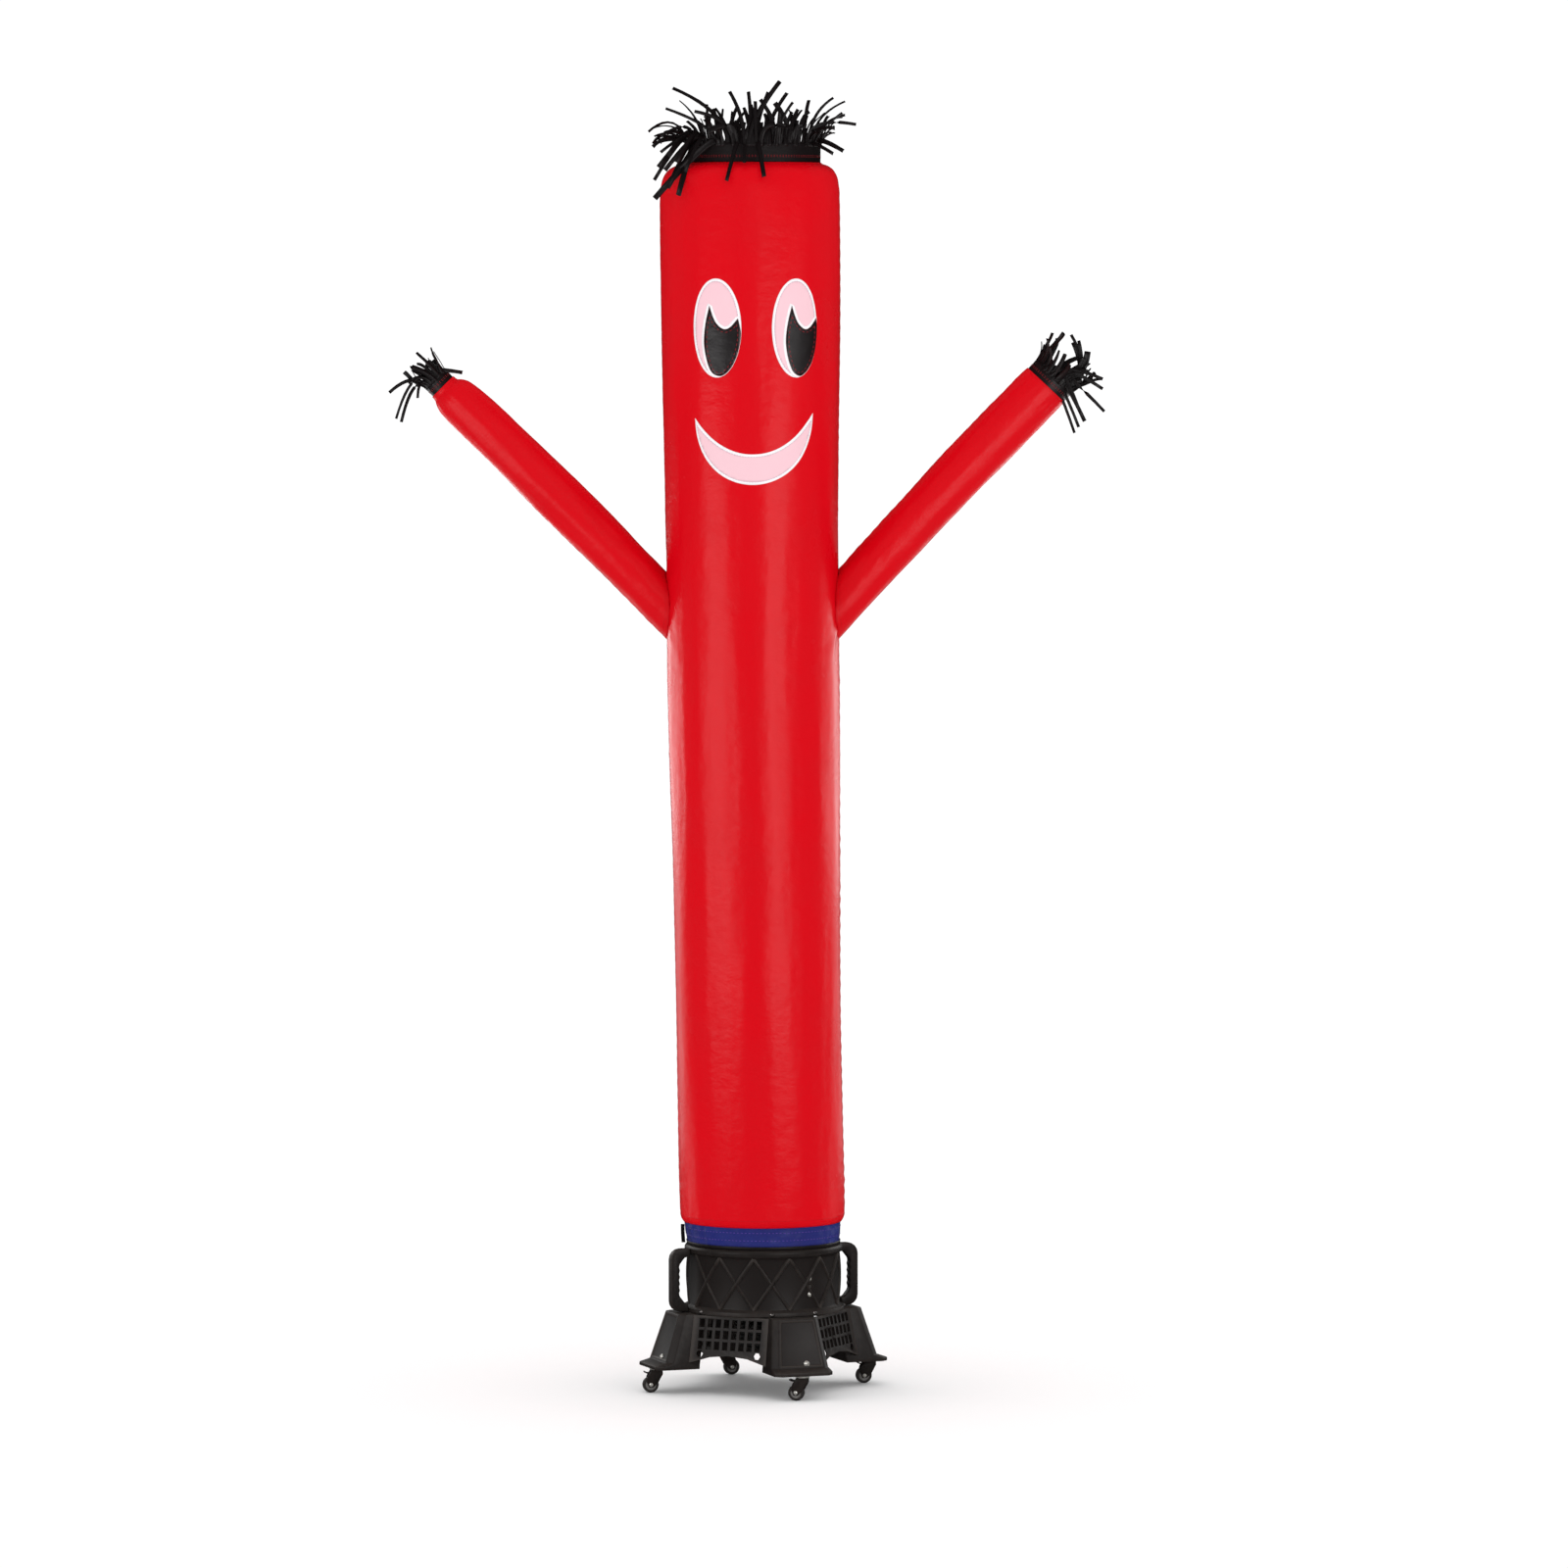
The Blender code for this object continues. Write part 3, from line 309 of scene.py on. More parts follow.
# Drum
DRUM_WALL = 0.2116
RIB_PITCHES = 6
RIB_ZONE = math.radians(164.0)
RIB_LOW = 0.2400
RIB_HIGH = 0.3835
RIB_PROUD = {"rising": 0.0056, "falling": 0.0036}
RIB_HALF_WIDTH = {"rising": 0.0062, "falling": 0.0050}
DRUM_PROFILE = (
    (0.2050, 0.2225), (0.2255, 0.2225), (0.2265, 0.2235), (0.2265, 0.2322), (0.2258, 0.2336),
    (0.2246, 0.2342), (0.2160, 0.2385), (0.2126, 0.2410), (0.2116, 0.2440), (0.2116, 0.3790),
    (0.2122, 0.3815), (0.2150, 0.3850), (0.2192, 0.3874), (0.2205, 0.3886), (0.2210, 0.3902),
    (0.2210, 0.3988), (0.2206, 0.4006), (0.2194, 0.4022), (0.2180, 0.4044), (0.2166, 0.4058),
    (0.2150, 0.4065), (0.2085, 0.4065), (0.2085, 0.4500), (0.2080, 0.4515), (0.2068, 0.4520),
    (0.2055, 0.4512), (0.2050, 0.4500), (0.2050, 0.2225),
)
DRUM_STEPS = 144
FLANGE_RADIUS = 0.2265
BOLT_SPREAD = 16.5
BOLT_HEIGHT = 0.2283
CONTROL_AZIMUTH = math.radians(-52.7)
CONTROL_HEIGHTS = (0.3250, 0.3030, 0.2810)

# Base and castors
LEG_AZIMUTHS = {"right": 0.0, "back": 90.0, "left": 180.0, "front": 270.0}
LEG_FOOT = 0.0700
CASTOR_REACH = 0.3170
CASTOR_TRAIL = 0.0170
CASTOR_HEADINGS = {"left": 188.0, "front": 168.0, "right": 192.0, "back": 12.0}
WHEEL_RADIUS = 0.0225
WHEEL_HALF_WIDTH = 0.0100
AXLE_REACH = 0.0144
PANEL_NAMES = ("right_back", "back_left", "left_front", "front_right")
GRILLE_PITCH = (0.0250, 0.0305)
GRILLE_MIDDLE = 0.1700
GUARD_REACH = 0.2118
GUARD_UPRIGHT = (0.0100, 0.0022, 0.0930)
GUARD_LEVEL = (0.0080, 0.2020, 0.0022)
LEG_SCREW_REACH, LEG_SCREW_SHIFT, LEG_SCREW_HEIGHT, LEG_SCREW_SLOPE = 0.3078, 0.0160, 0.1010, 0.323
MOTOR_LOW, MOTOR_HIGH = 0.1150, 0.2135
MOTOR_RADIUS, MOTOR_RIB_RADIUS = 0.0745, 0.0800
MOTOR_RIBS, MOTOR_RIB_LOW, MOTOR_RIB_PITCH = 6, 0.1310, 0.0100
PANEL_LEAN = math.atan(0.20)

# Camera
CAMERA_PLACE = (0.115, -25.0, 3.10)
CAMERA_AIM = (0.115, 0.0, 1.693)
CAMERA_LENS = 206.0


def linear(red, green, blue):
    """A colour picked in sRGB, 0 to 255, as a shader takes it."""
    made = []
    for value in (red / 255, green / 255, blue / 255):
        made.append(value / 12.92 if value <= 0.04045 else ((value + 0.055) / 1.055) ** 2.4)
    return tuple(made)


# Shape helpers


def rounded(rows, times=2):
    """Cuts the corners off a table of rows, ends kept, so that the cloth turns softly."""
    kind = type(rows[0])
    rows = [np.array(row, float) for row in rows]
    for _ in range(times):
        cut = [rows[0]]
        for a, b in zip(rows, rows[1:]):
            cut += [a * 0.75 + b * 0.25, a * 0.25 + b * 0.75]
        rows = cut + [rows[-1]]
    return [kind(*row) for row in rows]


def bell(value, width):
    return math.exp(-((value / width) ** 2))


def unit(value):
    """A value held between 0 and 1."""
    return min(1.0, max(0.0, value))


def lumps(x, y, z):
    """Smooth noise at a place."""
    return noise.noise(Vector((x, y, z)))


def turned(angle):
    """An angle brought between half a turn back and half a turn on."""
    return (angle + math.pi) % FULL_TURN - math.pi


def whole_turn(steps):
    """Angles once round, the first one again at the end."""
    return [FULL_TURN * i / steps for i in range(steps + 1)]


def radial(angle):
    """The direction away from the axis at an angle round it."""
    return Vector((math.cos(angle), math.sin(angle), 0.0))


def tangent(angle):
    """The direction round the axis at an angle."""
    return Vector((-math.sin(angle), math.cos(angle), 0.0))


def mirrored(half):
    """A whole outline of (radius, height) from its lower half."""
    return [*half, *((radius, -height) for radius, height in reversed(half))]


def roll_grid(bm, columns, rows, place, flat, closed=True, capped=False):
    """A grid whose points go where place(across, along) says, joined round and capped on demand.

    flat(across, along) gives each point's place on the uncut cloth, in metres.
    """
    layer = bm.loops.layers.uv.verify()
    points = bmesh.ops.create_grid(bm, x_segments=columns, y_segments=rows, size=0.5)["verts"]
    shares = {point: (point.co.x + 0.5, point.co.y + 0.5) for point in points}
    for face in {face for point in points for face in point.link_faces}:
        for loop in face.loops:
            loop[layer].uv = flat(*shares[loop.vert])
    rim = [point for point in points if abs(shares[point][0] - 0.5) > 0.4999]
    for point in points:
        point.co = place(*shares[point])
    faces = {face for point in points for face in point.link_faces}
    if closed:
        bmesh.ops.remove_doubles(bm, verts=rim, dist=1e-6)
        faces = {face for face in faces if face.is_valid}
    if capped:
        edges = {edge for face in faces for edge in face.edges if edge.is_boundary}
        faces |= set(bmesh.ops.holes_fill(bm, edges=list(edges), sides=0)["faces"])
    return list(faces)


def spin_profile(bm, profile, steps, matrix=None, closed=True):
    """A turned part from its outline of (radius, height)."""
    points = [bm.verts.new((radius, 0.0, height)) for radius, height in profile]
    edges = [bm.edges.new(pair) for pair in zip(points, points[1:])]
    if closed:
        edges.append(bm.edges.new((points[-1], points[0])))
    before = set(bm.faces)
    bmesh.ops.spin(
        bm, geom=points + edges, cent=(0, 0, 0), axis=(0, 0, 1), angle=FULL_TURN, steps=steps,
        use_merge=True, use_duplicate=False,
    )
    made = {face for face in bm.faces if face not in before}
    around = list({point for face in made for point in face.verts})
    bmesh.ops.remove_doubles(bm, verts=around, dist=1e-6)
    made = [face for face in bm.faces if face not in before]
    bmesh.ops.recalc_face_normals(bm, faces=made)
    around = list({point for face in made for point in face.verts})
    if matrix is not None:
        bmesh.ops.transform(bm, matrix=matrix, verts=around)
    return made


def bevel_sharp(bm, width, angle, segments):
    """Rounds off the edges that are sharper than an angle."""
    limit = math.radians(angle)
    edges = [edge for edge in bm.edges if edge.is_manifold and edge.calc_face_angle(0.0) > limit]
    bmesh.ops.bevel(
        bm, geom=edges, offset=width, offset_type="OFFSET", segments=segments, profile=0.5,
        affect="EDGES", clamp_overlap=True, material=-1,
    )


def axes(origin, across, along, out):
    """A matrix from an origin and three directions."""
    return Matrix.Translation(origin) @ Matrix((across, along, out)).transposed().to_4x4()


def finished(name, bm, finishes, body="root", slot=None, stands_for=(), smooth=35.0, wall=0.0):
    """Turns a bmesh into a piece with its finishes, on its body."""
    mesh = bpy.data.meshes.new(name)
    bm.to_mesh(mesh)
    bm.free()
    mesh.shade_smooth()
    mesh.set_sharp_from_angle(angle=math.radians(smooth))
    for finish in finishes:
        mesh.materials.append(finish)
    piece = bpy.data.objects.new(name, mesh)
    bpy.context.scene.collection.objects.link(piece)
    if wall:
        shell = piece.modifiers.new("wall", "SOLIDIFY")
        shell.thickness = wall
        shell.offset = -1.0
    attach(piece, body)
    if stands_for:
        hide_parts(*stands_for)
    return piece


def spread_copies(name, template, places, finish, body="root"):
    """One mesh of many copies of a small template, one for each matrix."""
    shape = bpy.data.meshes.new(name)
    template.to_mesh(shape)
    template.free()
    points = np.array([point.co for point in shape.vertices])
    faces = [list(face.vertices) for face in shape.polygons]
    bpy.data.meshes.remove(shape)
    moved, joined = [], []
    for number, place in enumerate(places):
        matrix = np.array(place)
        moved.append(points @ matrix[:3, :3].T + matrix[:3, 3])
        joined += [[index + number * len(points) for index in face] for face in faces]
    mesh = bpy.data.meshes.new(name)
    mesh.from_pydata(np.concatenate(moved).tolist(), [], joined)
    mesh.shade_smooth()
    mesh.materials.append(finish)
    piece = bpy.data.objects.new(name, mesh)
    bpy.context.scene.collection.objects.link(piece)
    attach(piece, body)
    return piece


def sew(name, places, thread):
    """A piece of many stitches, each a plump grain one unit long, wide and high before its matrix."""
    bm = bmesh.new()
    bmesh.ops.create_icosphere(bm, subdivisions=1, radius=0.5)
    return spread_copies(name, bm, places, finish_of(thread))


def stitch_places(path, outs, look, slant=0.0, scale=1.0):
    """Matrices of stitches laid end to end along a path of points with their outward directions."""
    gaps = [0.0]
    for a, b in zip(path, path[1:]):
        gaps.append(gaps[-1] + (b - a).length)
    length = look.stitch_length * scale
    count = max(1, round(gaps[-1] / (length * 1.35)))
    places = []
    at = 0
    for number in range(count):
        want = gaps[-1] * (number + 0.5) / count
        while at < len(gaps) - 2 and gaps[at + 1] < want:
            at += 1
        share = (want - gaps[at]) / max(gaps[at + 1] - gaps[at], 1e-9)
        place = path[at].lerp(path[at + 1], share)
        out = outs[at].lerp(outs[at + 1], share).normalized()
        along = (path[at + 1] - path[at]).normalized()
        along = (along - out * along.dot(out)).normalized()
        across = out.cross(along)
        along = (along * math.cos(slant) + across * math.sin(slant)).normalized()
        across = out.cross(along)
        thread = look.thread_width * scale
        size = Matrix.Diagonal((length, thread, thread * 0.7, 1.0))
        places.append(axes(place, along, across, out) @ size)
    return places


# The red tube and the sleeves as surfaces

TUBE_TABLE = np.array(rounded(TUBE_RINGS)).T
TUBE_STEPS = np.hypot(np.diff(TUBE_TABLE[0]), np.diff(TUBE_TABLE[2]))
TUBE_RUN = np.concatenate([[0.0], np.cumsum(TUBE_STEPS)])
TUBE_LENGTH = float(TUBE_RUN[-1])
SKIRT_TABLE = np.array(SKIRT_RINGS).T


def at_level(table, level):
    """The second and third column of a table at a level of its first."""
    return tuple(float(np.interp(level, table[0], column)) for column in table[1:])


def creases(table, x, y, level, phase=0.0):
    """Soft dents of several sizes, as a share of their depth."""
    return sum(
        row.share * lumps(x * row.around, y * row.around, level * row.along + row.shift + phase)
        for row in table
    )


def flutes(angle, height, depth):
    """The soft lengthwise unevenness that the solid has too."""
    low, high = TUBE_RINGS[1].height, FLUTE_END
    if not low < height < high:
        return 0.0
    swell = math.sin(math.pi * (height - low) / (high - low)) ** 0.5
    wave = 0.6 * math.sin(5 * angle + 1.9 * height) + 0.4 * math.sin(8 * angle - 2.6 * height)
    return depth * swell * wave


def seam_pucker(distance, run, depth, phase):
    """Short puckers that a sewn seam draws into the cloth on both sides of it."""
    beat = run / SEAM_PITCH + 0.35 * lumps(run * 9.0, phase, 0.0)
    size = 0.65 + 0.6 * lumps(run * 3.1, phase, 4.0)
    wave = math.sin(FULL_TURN * beat) * size
    groove = -0.7 * bell(distance, SEAM_GROOVE)
    return depth * (wave * bell(distance, SEAM_REACH) + groove)


def tube_relief(angle, height, look):
    """How far the blown cloth stands out of its round form."""
    relief = flutes(angle, height, look.flute_depth)
    x, y = math.cos(angle), math.sin(angle)
    fade = min(unit((height - DENTS_FROM) / DENTS_FROM_FADE), unit((DENTS_TO - height) / DENTS_TO_FADE))
    relief += look.crease_depth * fade * creases(TUBE_CREASES, x, y, height)
    side = 0.0 if x > 0 else math.pi
    reach = abs(turned(angle - side)) * TUBE_RADIUS
    if reach < 3 * SEAM_REACH:
        share = (1.0 if side == 0.0 else 0.45) * (1.0 if height < 2.0 else 0.5)
        relief += fade * seam_pucker(reach, height, look.pucker_depth * share, side)
    for arm_side in (math.pi, 0.0):
        sideways = turned(angle - arm_side) * TUBE_RADIUS
        if abs(sideways) > PULL_REACH:
            continue
        upwards = height - ARM_HEIGHT
        far = math.hypot(sideways, upwards * 0.8)
        bearing = math.atan2(upwards, sideways)
        pull = lumps(math.cos(bearing) * 3.4, math.sin(bearing) * 3.4, arm_side)
        relief += look.pucker_depth * 2.6 * pull * bell(far - PULL_RADIUS, PULL_WIDTH)
    if height > GATHER_FROM:
        rise = unit((height - GATHER_FROM) / GATHER_FADE) * unit((NECK_SEAM - height) / GATHER_END)
        gather = math.sin(31 * angle + 2.5 * lumps(x * 3, y * 3, 1.0))
        relief += look.pucker_depth * 0.28 * rise * (gather + 0.4)
    if height < RIPPLE_TO:
        ripple = math.sin(23 * angle + 3.0 * lumps(x * 2, y * 2, 9.0))
        relief += look.pucker_depth * 0.35 * bell(height - RIPPLE_MIDDLE, RIPPLE_WIDTH) * (ripple + 0.2)
    return relief


def tube_point(angle, height, look, proud=0.0):
    """A point on the tube's outer face, moved out by proud, relative to the blower's axis."""
    lean, radius = at_level(TUBE_TABLE, height)
    radius += proud + tube_relief(angle, height, look)
    return Vector((lean + radius * math.cos(angle), radius * math.sin(angle), height))


def tube_run(along):
    """Distance along the cloth for a share of the rows, which crowd towards both ends."""
    return TUBE_LENGTH * (along - END_CROWDING * math.sin(FULL_TURN * along) / FULL_TURN)


def arm_frame(side):
    """An arm's own axes: Z runs along it and X to its upper side, relative to the blower's axis."""
    x, z = ARM_ROOTS[side]
    slope = ARM_SLOPES[side]
    along = Vector((math.cos(slope), 0.0, math.sin(slope)))
    back = Vector((0.0, 1.0, 0.0))
    return axes((x, 0.0, z), back.cross(along), back, along)


def sleeve_table(side):
    """Columns of distance along an arm, bend and radius, from inside the tube to the sleeve's end."""
    rows = rounded(ARM_RINGS[side])
    return np.array([Sleeve(ARM_START, rows[0].bend, rows[0].radius), *rows]).T


def sleeve_point(side, table, along, angle, look, proud=0.0):
    """A point on a sleeve's outer face, relative to the blower's axis."""
    bend, radius = at_level(table, along)
    x, y = math.cos(angle), math.sin(angle)
    phase = ARM_PHASES[side]
    end = table[0][-1]
    fade = unit((end - along) / 0.05)
    relief = look.crease_depth * fade * creases(SLEEVE_CREASES, x, y, along, phase)
    seam = abs(turned(angle - math.pi)) * radius
    relief += fade * seam_pucker(seam, along, look.pucker_depth * 0.35, phase)
    fold = lumps(x * 2.2, y * 2.2, phase + 2.0 * along)
    relief += look.pucker_depth * 1.8 * fold * bell(along - 0.09, 0.07)
    gather = math.sin(19 * angle + 2 * lumps(x * 2, y * 2, phase))
    relief += look.pucker_depth * 0.45 * (gather - 0.2) * bell(end - 0.035 - along, 0.022)
    radius += relief + proud
    return arm_frame(side) @ Vector((bend + radius * x, radius * y, along))


def sleeve_root(side, table, angle, look):
    """Where a sleeve's line at an angle meets the tube's cloth, as a distance along the arm."""
    low, high = ARM_START, 0.20
    for _ in range(22):
        middle = (low + high) / 2
        point = sleeve_point(side, table, middle, angle, look)
        lean, radius = at_level(TUBE_TABLE, point.z)
        bearing = math.atan2(point.y, point.x - lean)
        reach = math.hypot(point.x - lean, point.y)
        if reach > radius + tube_relief(bearing, point.z, look) + STITCH_LIFT:
            high = middle
        else:
            low = middle
    return (low + high) / 2


# Finishes


def feed(tree, value, socket):
    """Links an output to a socket, or sets the socket to a value."""
    if isinstance(value, bpy.types.NodeSocket):
        tree.links.new(value, socket)
    else:
        socket.default_value = value


def add_node(tree, kind, inputs=(), **settings):
    """A node with its settings, and with values or other nodes' outputs fed to its inputs."""
    made = tree.nodes.new(kind)
    for name, value in settings.items():
        setattr(made, name, value)
    for name, value in dict(inputs).items():
        feed(tree, value, made.inputs[name])
    return made


def maths(tree, operation, *values, clamp=False):
    made = add_node(tree, "ShaderNodeMath", enumerate(values), operation=operation, use_clamp=clamp)
    return made.outputs[0]


def parts_of(tree, vector):
    return add_node(tree, "ShaderNodeSeparateXYZ", {0: vector}).outputs


def cloudy(tree, given, detail, roughness, vector=None, scale=None):
    """Noise by a group's own place and scale, or by others."""
    inputs = {
        "Vector": given["Vector"] if vector is None else vector,
        "Scale": given["Scale"] if scale is None else scale,
        "Detail": detail,
        "Roughness": roughness,
    }
    return add_node(tree, "ShaderNodeTexNoise", inputs).outputs["Fac"]


def spread(tree, value, low, high):
    """A value's range from low to high, spread from 0 to 1."""
    inputs = {"Value": value, "From Min": low, "From Max": high}
    return add_node(tree, "ShaderNodeMapRange", inputs).outputs["Result"]


def weave_height(tree, given):
    """Plain weave: threads over and under each other, by the cloth's own sizes."""
    place = parts_of(tree, given["Vector"])
    turns = maths(tree, "MULTIPLY", given["Threads per metre"], math.pi)
    across = maths(tree, "SINE", maths(tree, "MULTIPLY", place["X"], turns))
    along = maths(tree, "SINE", maths(tree, "MULTIPLY", place["Y"], turns))
    return maths(tree, "MULTIPLY_ADD", maths(tree, "MULTIPLY", across, along), 0.5, 0.5)


def crinkle_height(tree, given):
    """Fine crinkles of thin coated nylon, drawn out across the cloth."""
    stretch = add_node(tree, "ShaderNodeCombineXYZ", {"X": 1.0, "Y": given["Stretch"], "Z": 1.0})
    inputs = {0: given["Vector"], 1: stretch.outputs[0]}
    drawn = add_node(tree, "ShaderNodeVectorMath", inputs, operation="MULTIPLY")
    return cloudy(tree, given, 4.0, 0.55, vector=drawn.outputs[0])


def seam_height(tree, given):
    """Short slanted puckers on both sides of the tube's two side seams, by the cloth's own sizes."""
    place = parts_of(tree, given["Vector"])
    whole = maths(tree, "DIVIDE", place["X"], given["Seam distance"])
    nearest = maths(tree, "SUBTRACT", whole, maths(tree, "ROUND", whole))
    distance = maths(tree, "ABSOLUTE", maths(tree, "MULTIPLY", nearest, given["Seam distance"]))
    near = maths(tree, "DIVIDE", distance, given["Reach"])
    fade = maths(tree, "POWER", maths(tree, "SUBTRACT", 1.0, near, clamp=True), 2.0)
    drift = cloudy(tree, given, 3.0, 0.6, scale=14.0)
    slanted = maths(tree, "MULTIPLY_ADD", distance, 0.7, place["Y"])
    beats = maths(tree, "DIVIDE", slanted, given["Pitch"])
    bent = maths(tree, "MULTIPLY_ADD", drift, 5.0, beats)
    wave = maths(tree, "SINE", maths(tree, "MULTIPLY", bent, FULL_TURN))
    return maths(tree, "MULTIPLY", maths(tree, "MULTIPLY_ADD", wave, 0.5, 0.5), fade)


def mottle_mask(tree, given):
    """Large soft patches, for colour and gloss that vary over a surface."""
    return spread(tree, cloudy(tree, given, 4.0, 0.6), 0.20, 0.80)


def dust_mask(tree, given):
    """Dust that has settled on faces that look up, in uneven patches."""
    facing_way = parts_of(tree, add_node(tree, "ShaderNodeNewGeometry").outputs["Normal"])
    upward = maths(tree, "POWER", maths(tree, "MAXIMUM", facing_way["Z"], 0.0), 2.0)
    patches = cloudy(tree, given, 5.0, 0.65)
    raised = maths(tree, "MULTIPLY_ADD", upward, 0.8, 0.12)
    return maths(tree, "MULTIPLY", raised, patches, clamp=True)


def wear_mask(tree, given):
    """Edges rubbed pale by handling."""
    edges = add_node(tree, "ShaderNodeNewGeometry").outputs["Pointiness"]
    shifted = maths(tree, "MULTIPLY_ADD", cloudy(tree, given, 4.0, 0.6), 0.06, edges)
    return spread(tree, shifted, 0.555, 0.620)


def grain_height(tree, given):
    """The spark-eroded grain of moulded plastic."""
    return cloudy(tree, given, 2.0, 0.5)


# Shared effects: label, output, numbers taken besides a place, and what works the output out
Effect = namedtuple("Effect", "label output numbers build")
SEAM_NUMBERS = {"Seam distance": TUBE_GIRTH / 2, "Reach": 0.075, "Pitch": 0.015}
EFFECTS = {
    "weave": Effect("Plain weave", "Height", {"Threads per metre": 900.0}, weave_height),
    "crinkle": Effect("Crinkles", "Height", {"Scale": 60.0, "Stretch": 1.5}, crinkle_height),
    "mottle": Effect("Mottle", "Mask", {"Scale": 4.0}, mottle_mask),
    "dust": Effect("Settled dust", "Mask", {"Scale": 14.0}, dust_mask),
    "wear": Effect("Rubbed edges", "Mask", {"Scale": 60.0}, wear_mask),
    "grain": Effect("Moulded grain", "Height", {"Scale": 900.0}, grain_height),
    "seam": Effect("Seam puckers", "Height", SEAM_NUMBERS, seam_height),
}


def effect_group(name):
    """A shared effect as a node group, made the first time it is asked for."""
    effect = EFFECTS[name]
    group = bpy.data.node_groups.get(effect.label)
    if group:
        return group
    group = bpy.data.node_groups.new(effect.label, "ShaderNodeTree")
    group.interface.new_socket("Vector", in_out="INPUT", socket_type="NodeSocketVector")
    for label, number in effect.numbers.items():
        socket = group.interface.new_socket(label, in_out="INPUT", socket_type="NodeSocketFloat")
        socket.default_value = number
    group.interface.new_socket(effect.output, in_out="OUTPUT", socket_type="NodeSocketFloat")
    start = group.nodes.new("NodeGroupInput")
    end = group.nodes.new("NodeGroupOutput")
    group.links.new(effect.build(group, start.outputs), end.inputs[effect.output])
    return group


class Finish:
    """A material under construction: its nodes, and what feeds its shader."""

    def __init__(self, name, colour, roughness, metallic=0.0, specular=0.5):
        self.material = bpy.data.materials.new(name)
        self.material.use_nodes = True
        self.tree = self.material.node_tree
        self.shader = self.tree.nodes["Principled BSDF"]
        self.colour = (*colour, 1.0)
        self.height = None
        values = {
            "Base Color": self.colour, "Roughness": roughness, "Metallic": metallic,
            "Specular IOR Level": specular,
        }
        for socket, value in values.items():
            self.shader.inputs[socket].default_value = value

    def coordinates(self, kind):
        return add_node(self.tree, "ShaderNodeTexCoord").outputs[kind]

    def effect(self, name, vector, **numbers):
        """The output of a shared effect at a place, with numbers by their labels in lower case."""
        labels = {label.lower().replace(" ", "_"): label for label in EFFECTS[name].numbers}
        inputs = {"Vector": vector, **{labels[key]: number for key, number in numbers.items()}}
        made = add_node(self.tree, "ShaderNodeGroup", inputs, node_tree=effect_group(name))
        return made.outputs[0]

    def tint(self, mask, colour, amount):
        """Mixes a second colour in where a mask is high."""
        socket = self.shader.inputs["Base Color"]
        inputs = {
            "Factor": maths(self.tree, "MULTIPLY", mask, amount, clamp=True),
            "A": socket.links[0].from_socket if socket.is_linked else self.colour,
            "B": (*colour, 1.0),
        }
        mix = add_node(self.tree, "ShaderNodeMix", inputs, data_type="RGBA")
        feed(self.tree, mix.outputs["Result"], socket)

    def rough(self, mask, low, high):
        """Makes the roughness follow a mask."""
        inputs = {"Value": mask, "To Min": low, "To Max": high}
        scaled = add_node(self.tree, "ShaderNodeMapRange", inputs, clamp=True)
        feed(self.tree, scaled.outputs["Result"], self.shader.inputs["Roughness"])

    def relief(self, height, distance, strength):
        """Adds one layer of bump."""
        inputs = {"Height": height, "Distance": distance, "Strength": strength}
        if self.height is not None:
            inputs["Normal"] = self.height
        self.height = add_node(self.tree, "ShaderNodeBump", inputs).outputs["Normal"]
        feed(self.tree, self.height, self.shader.inputs["Normal"])


def dimmed(colour, share):
    return tuple(value * share for value in colour)


def cloth_finish(name, colour, deep, roughness, crinkle=0.0010, weave=0.00004, specular=0.5, seams=False):
    """Woven nylon or polyester, coated: weave, crinkles, and patches of gloss and depth."""
    finish = Finish(name, colour, roughness, specular=specular)
    uv = finish.coordinates("UV")
    patches = finish.effect("mottle", uv, scale=5.0)
    finish.tint(patches, deep, 0.75)
    finish.tint(finish.effect("mottle", uv, scale=130.0), deep, 0.35)
    finish.rough(patches, roughness - 0.05, roughness + 0.06)
    finish.relief(finish.effect("crinkle", uv, scale=22.0, stretch=1.5), crinkle * 2.6, 0.6)
    finish.relief(finish.effect("crinkle", uv, scale=110.0, stretch=1.7), crinkle * 0.5, 0.6)
    if seams:
        finish.relief(finish.effect("seam", uv), 0.0016, 0.7)
    finish.relief(finish.effect("weave", uv, threads_per_metre=1100.0), weave, 0.5)
    return finish.material


def plastic_finish(name, colour, roughness, grain=0.00012, dust=0.28, wear=0.35):
    """Moulded plastic: grain, dust on what looks up, and rubbed edges."""
    finish = Finish(name, colour, roughness, specular=0.08)
    place = finish.coordinates("Object")
    patches = finish.effect("mottle", place, scale=9.0)
    finish.tint(patches, dimmed(colour, 1.5), 0.6)
    finish.tint(finish.effect("wear", place), linear(84, 77, 72), wear)
    finish.tint(finish.effect("dust", place), linear(112, 103, 96), dust)
    finish.rough(patches, roughness - 0.06, roughness + 0.08)
    finish.relief(finish.effect("grain", place, scale=420.0), grain, 0.6)
    return finish.material


def metal_finish(name, colour, roughness, tarnish, metallic=0.9):
    """Plated or painted steel with uneven polish."""
    finish = Finish(name, colour, roughness, metallic=metallic)
    place = finish.coordinates("Object")
    patches = finish.effect("mottle", place, scale=70.0)
    finish.tint(patches, tarnish, 0.7)
    finish.rough(patches, roughness - 0.06, roughness + 0.14)
    finish.relief(finish.effect("grain", place, scale=260.0), 0.00008, 0.4)
    return finish.material


def thread_finish(name, colour):
    """Twisted sewing thread."""
    finish = Finish(name, colour, 0.60, specular=0.2)
    twist = finish.effect("grain", finish.coordinates("Object"), scale=1400.0)
    finish.tint(twist, dimmed(colour, 0.55), 0.6)
    finish.relief(twist, 0.00015, 0.6)
    return finish.material


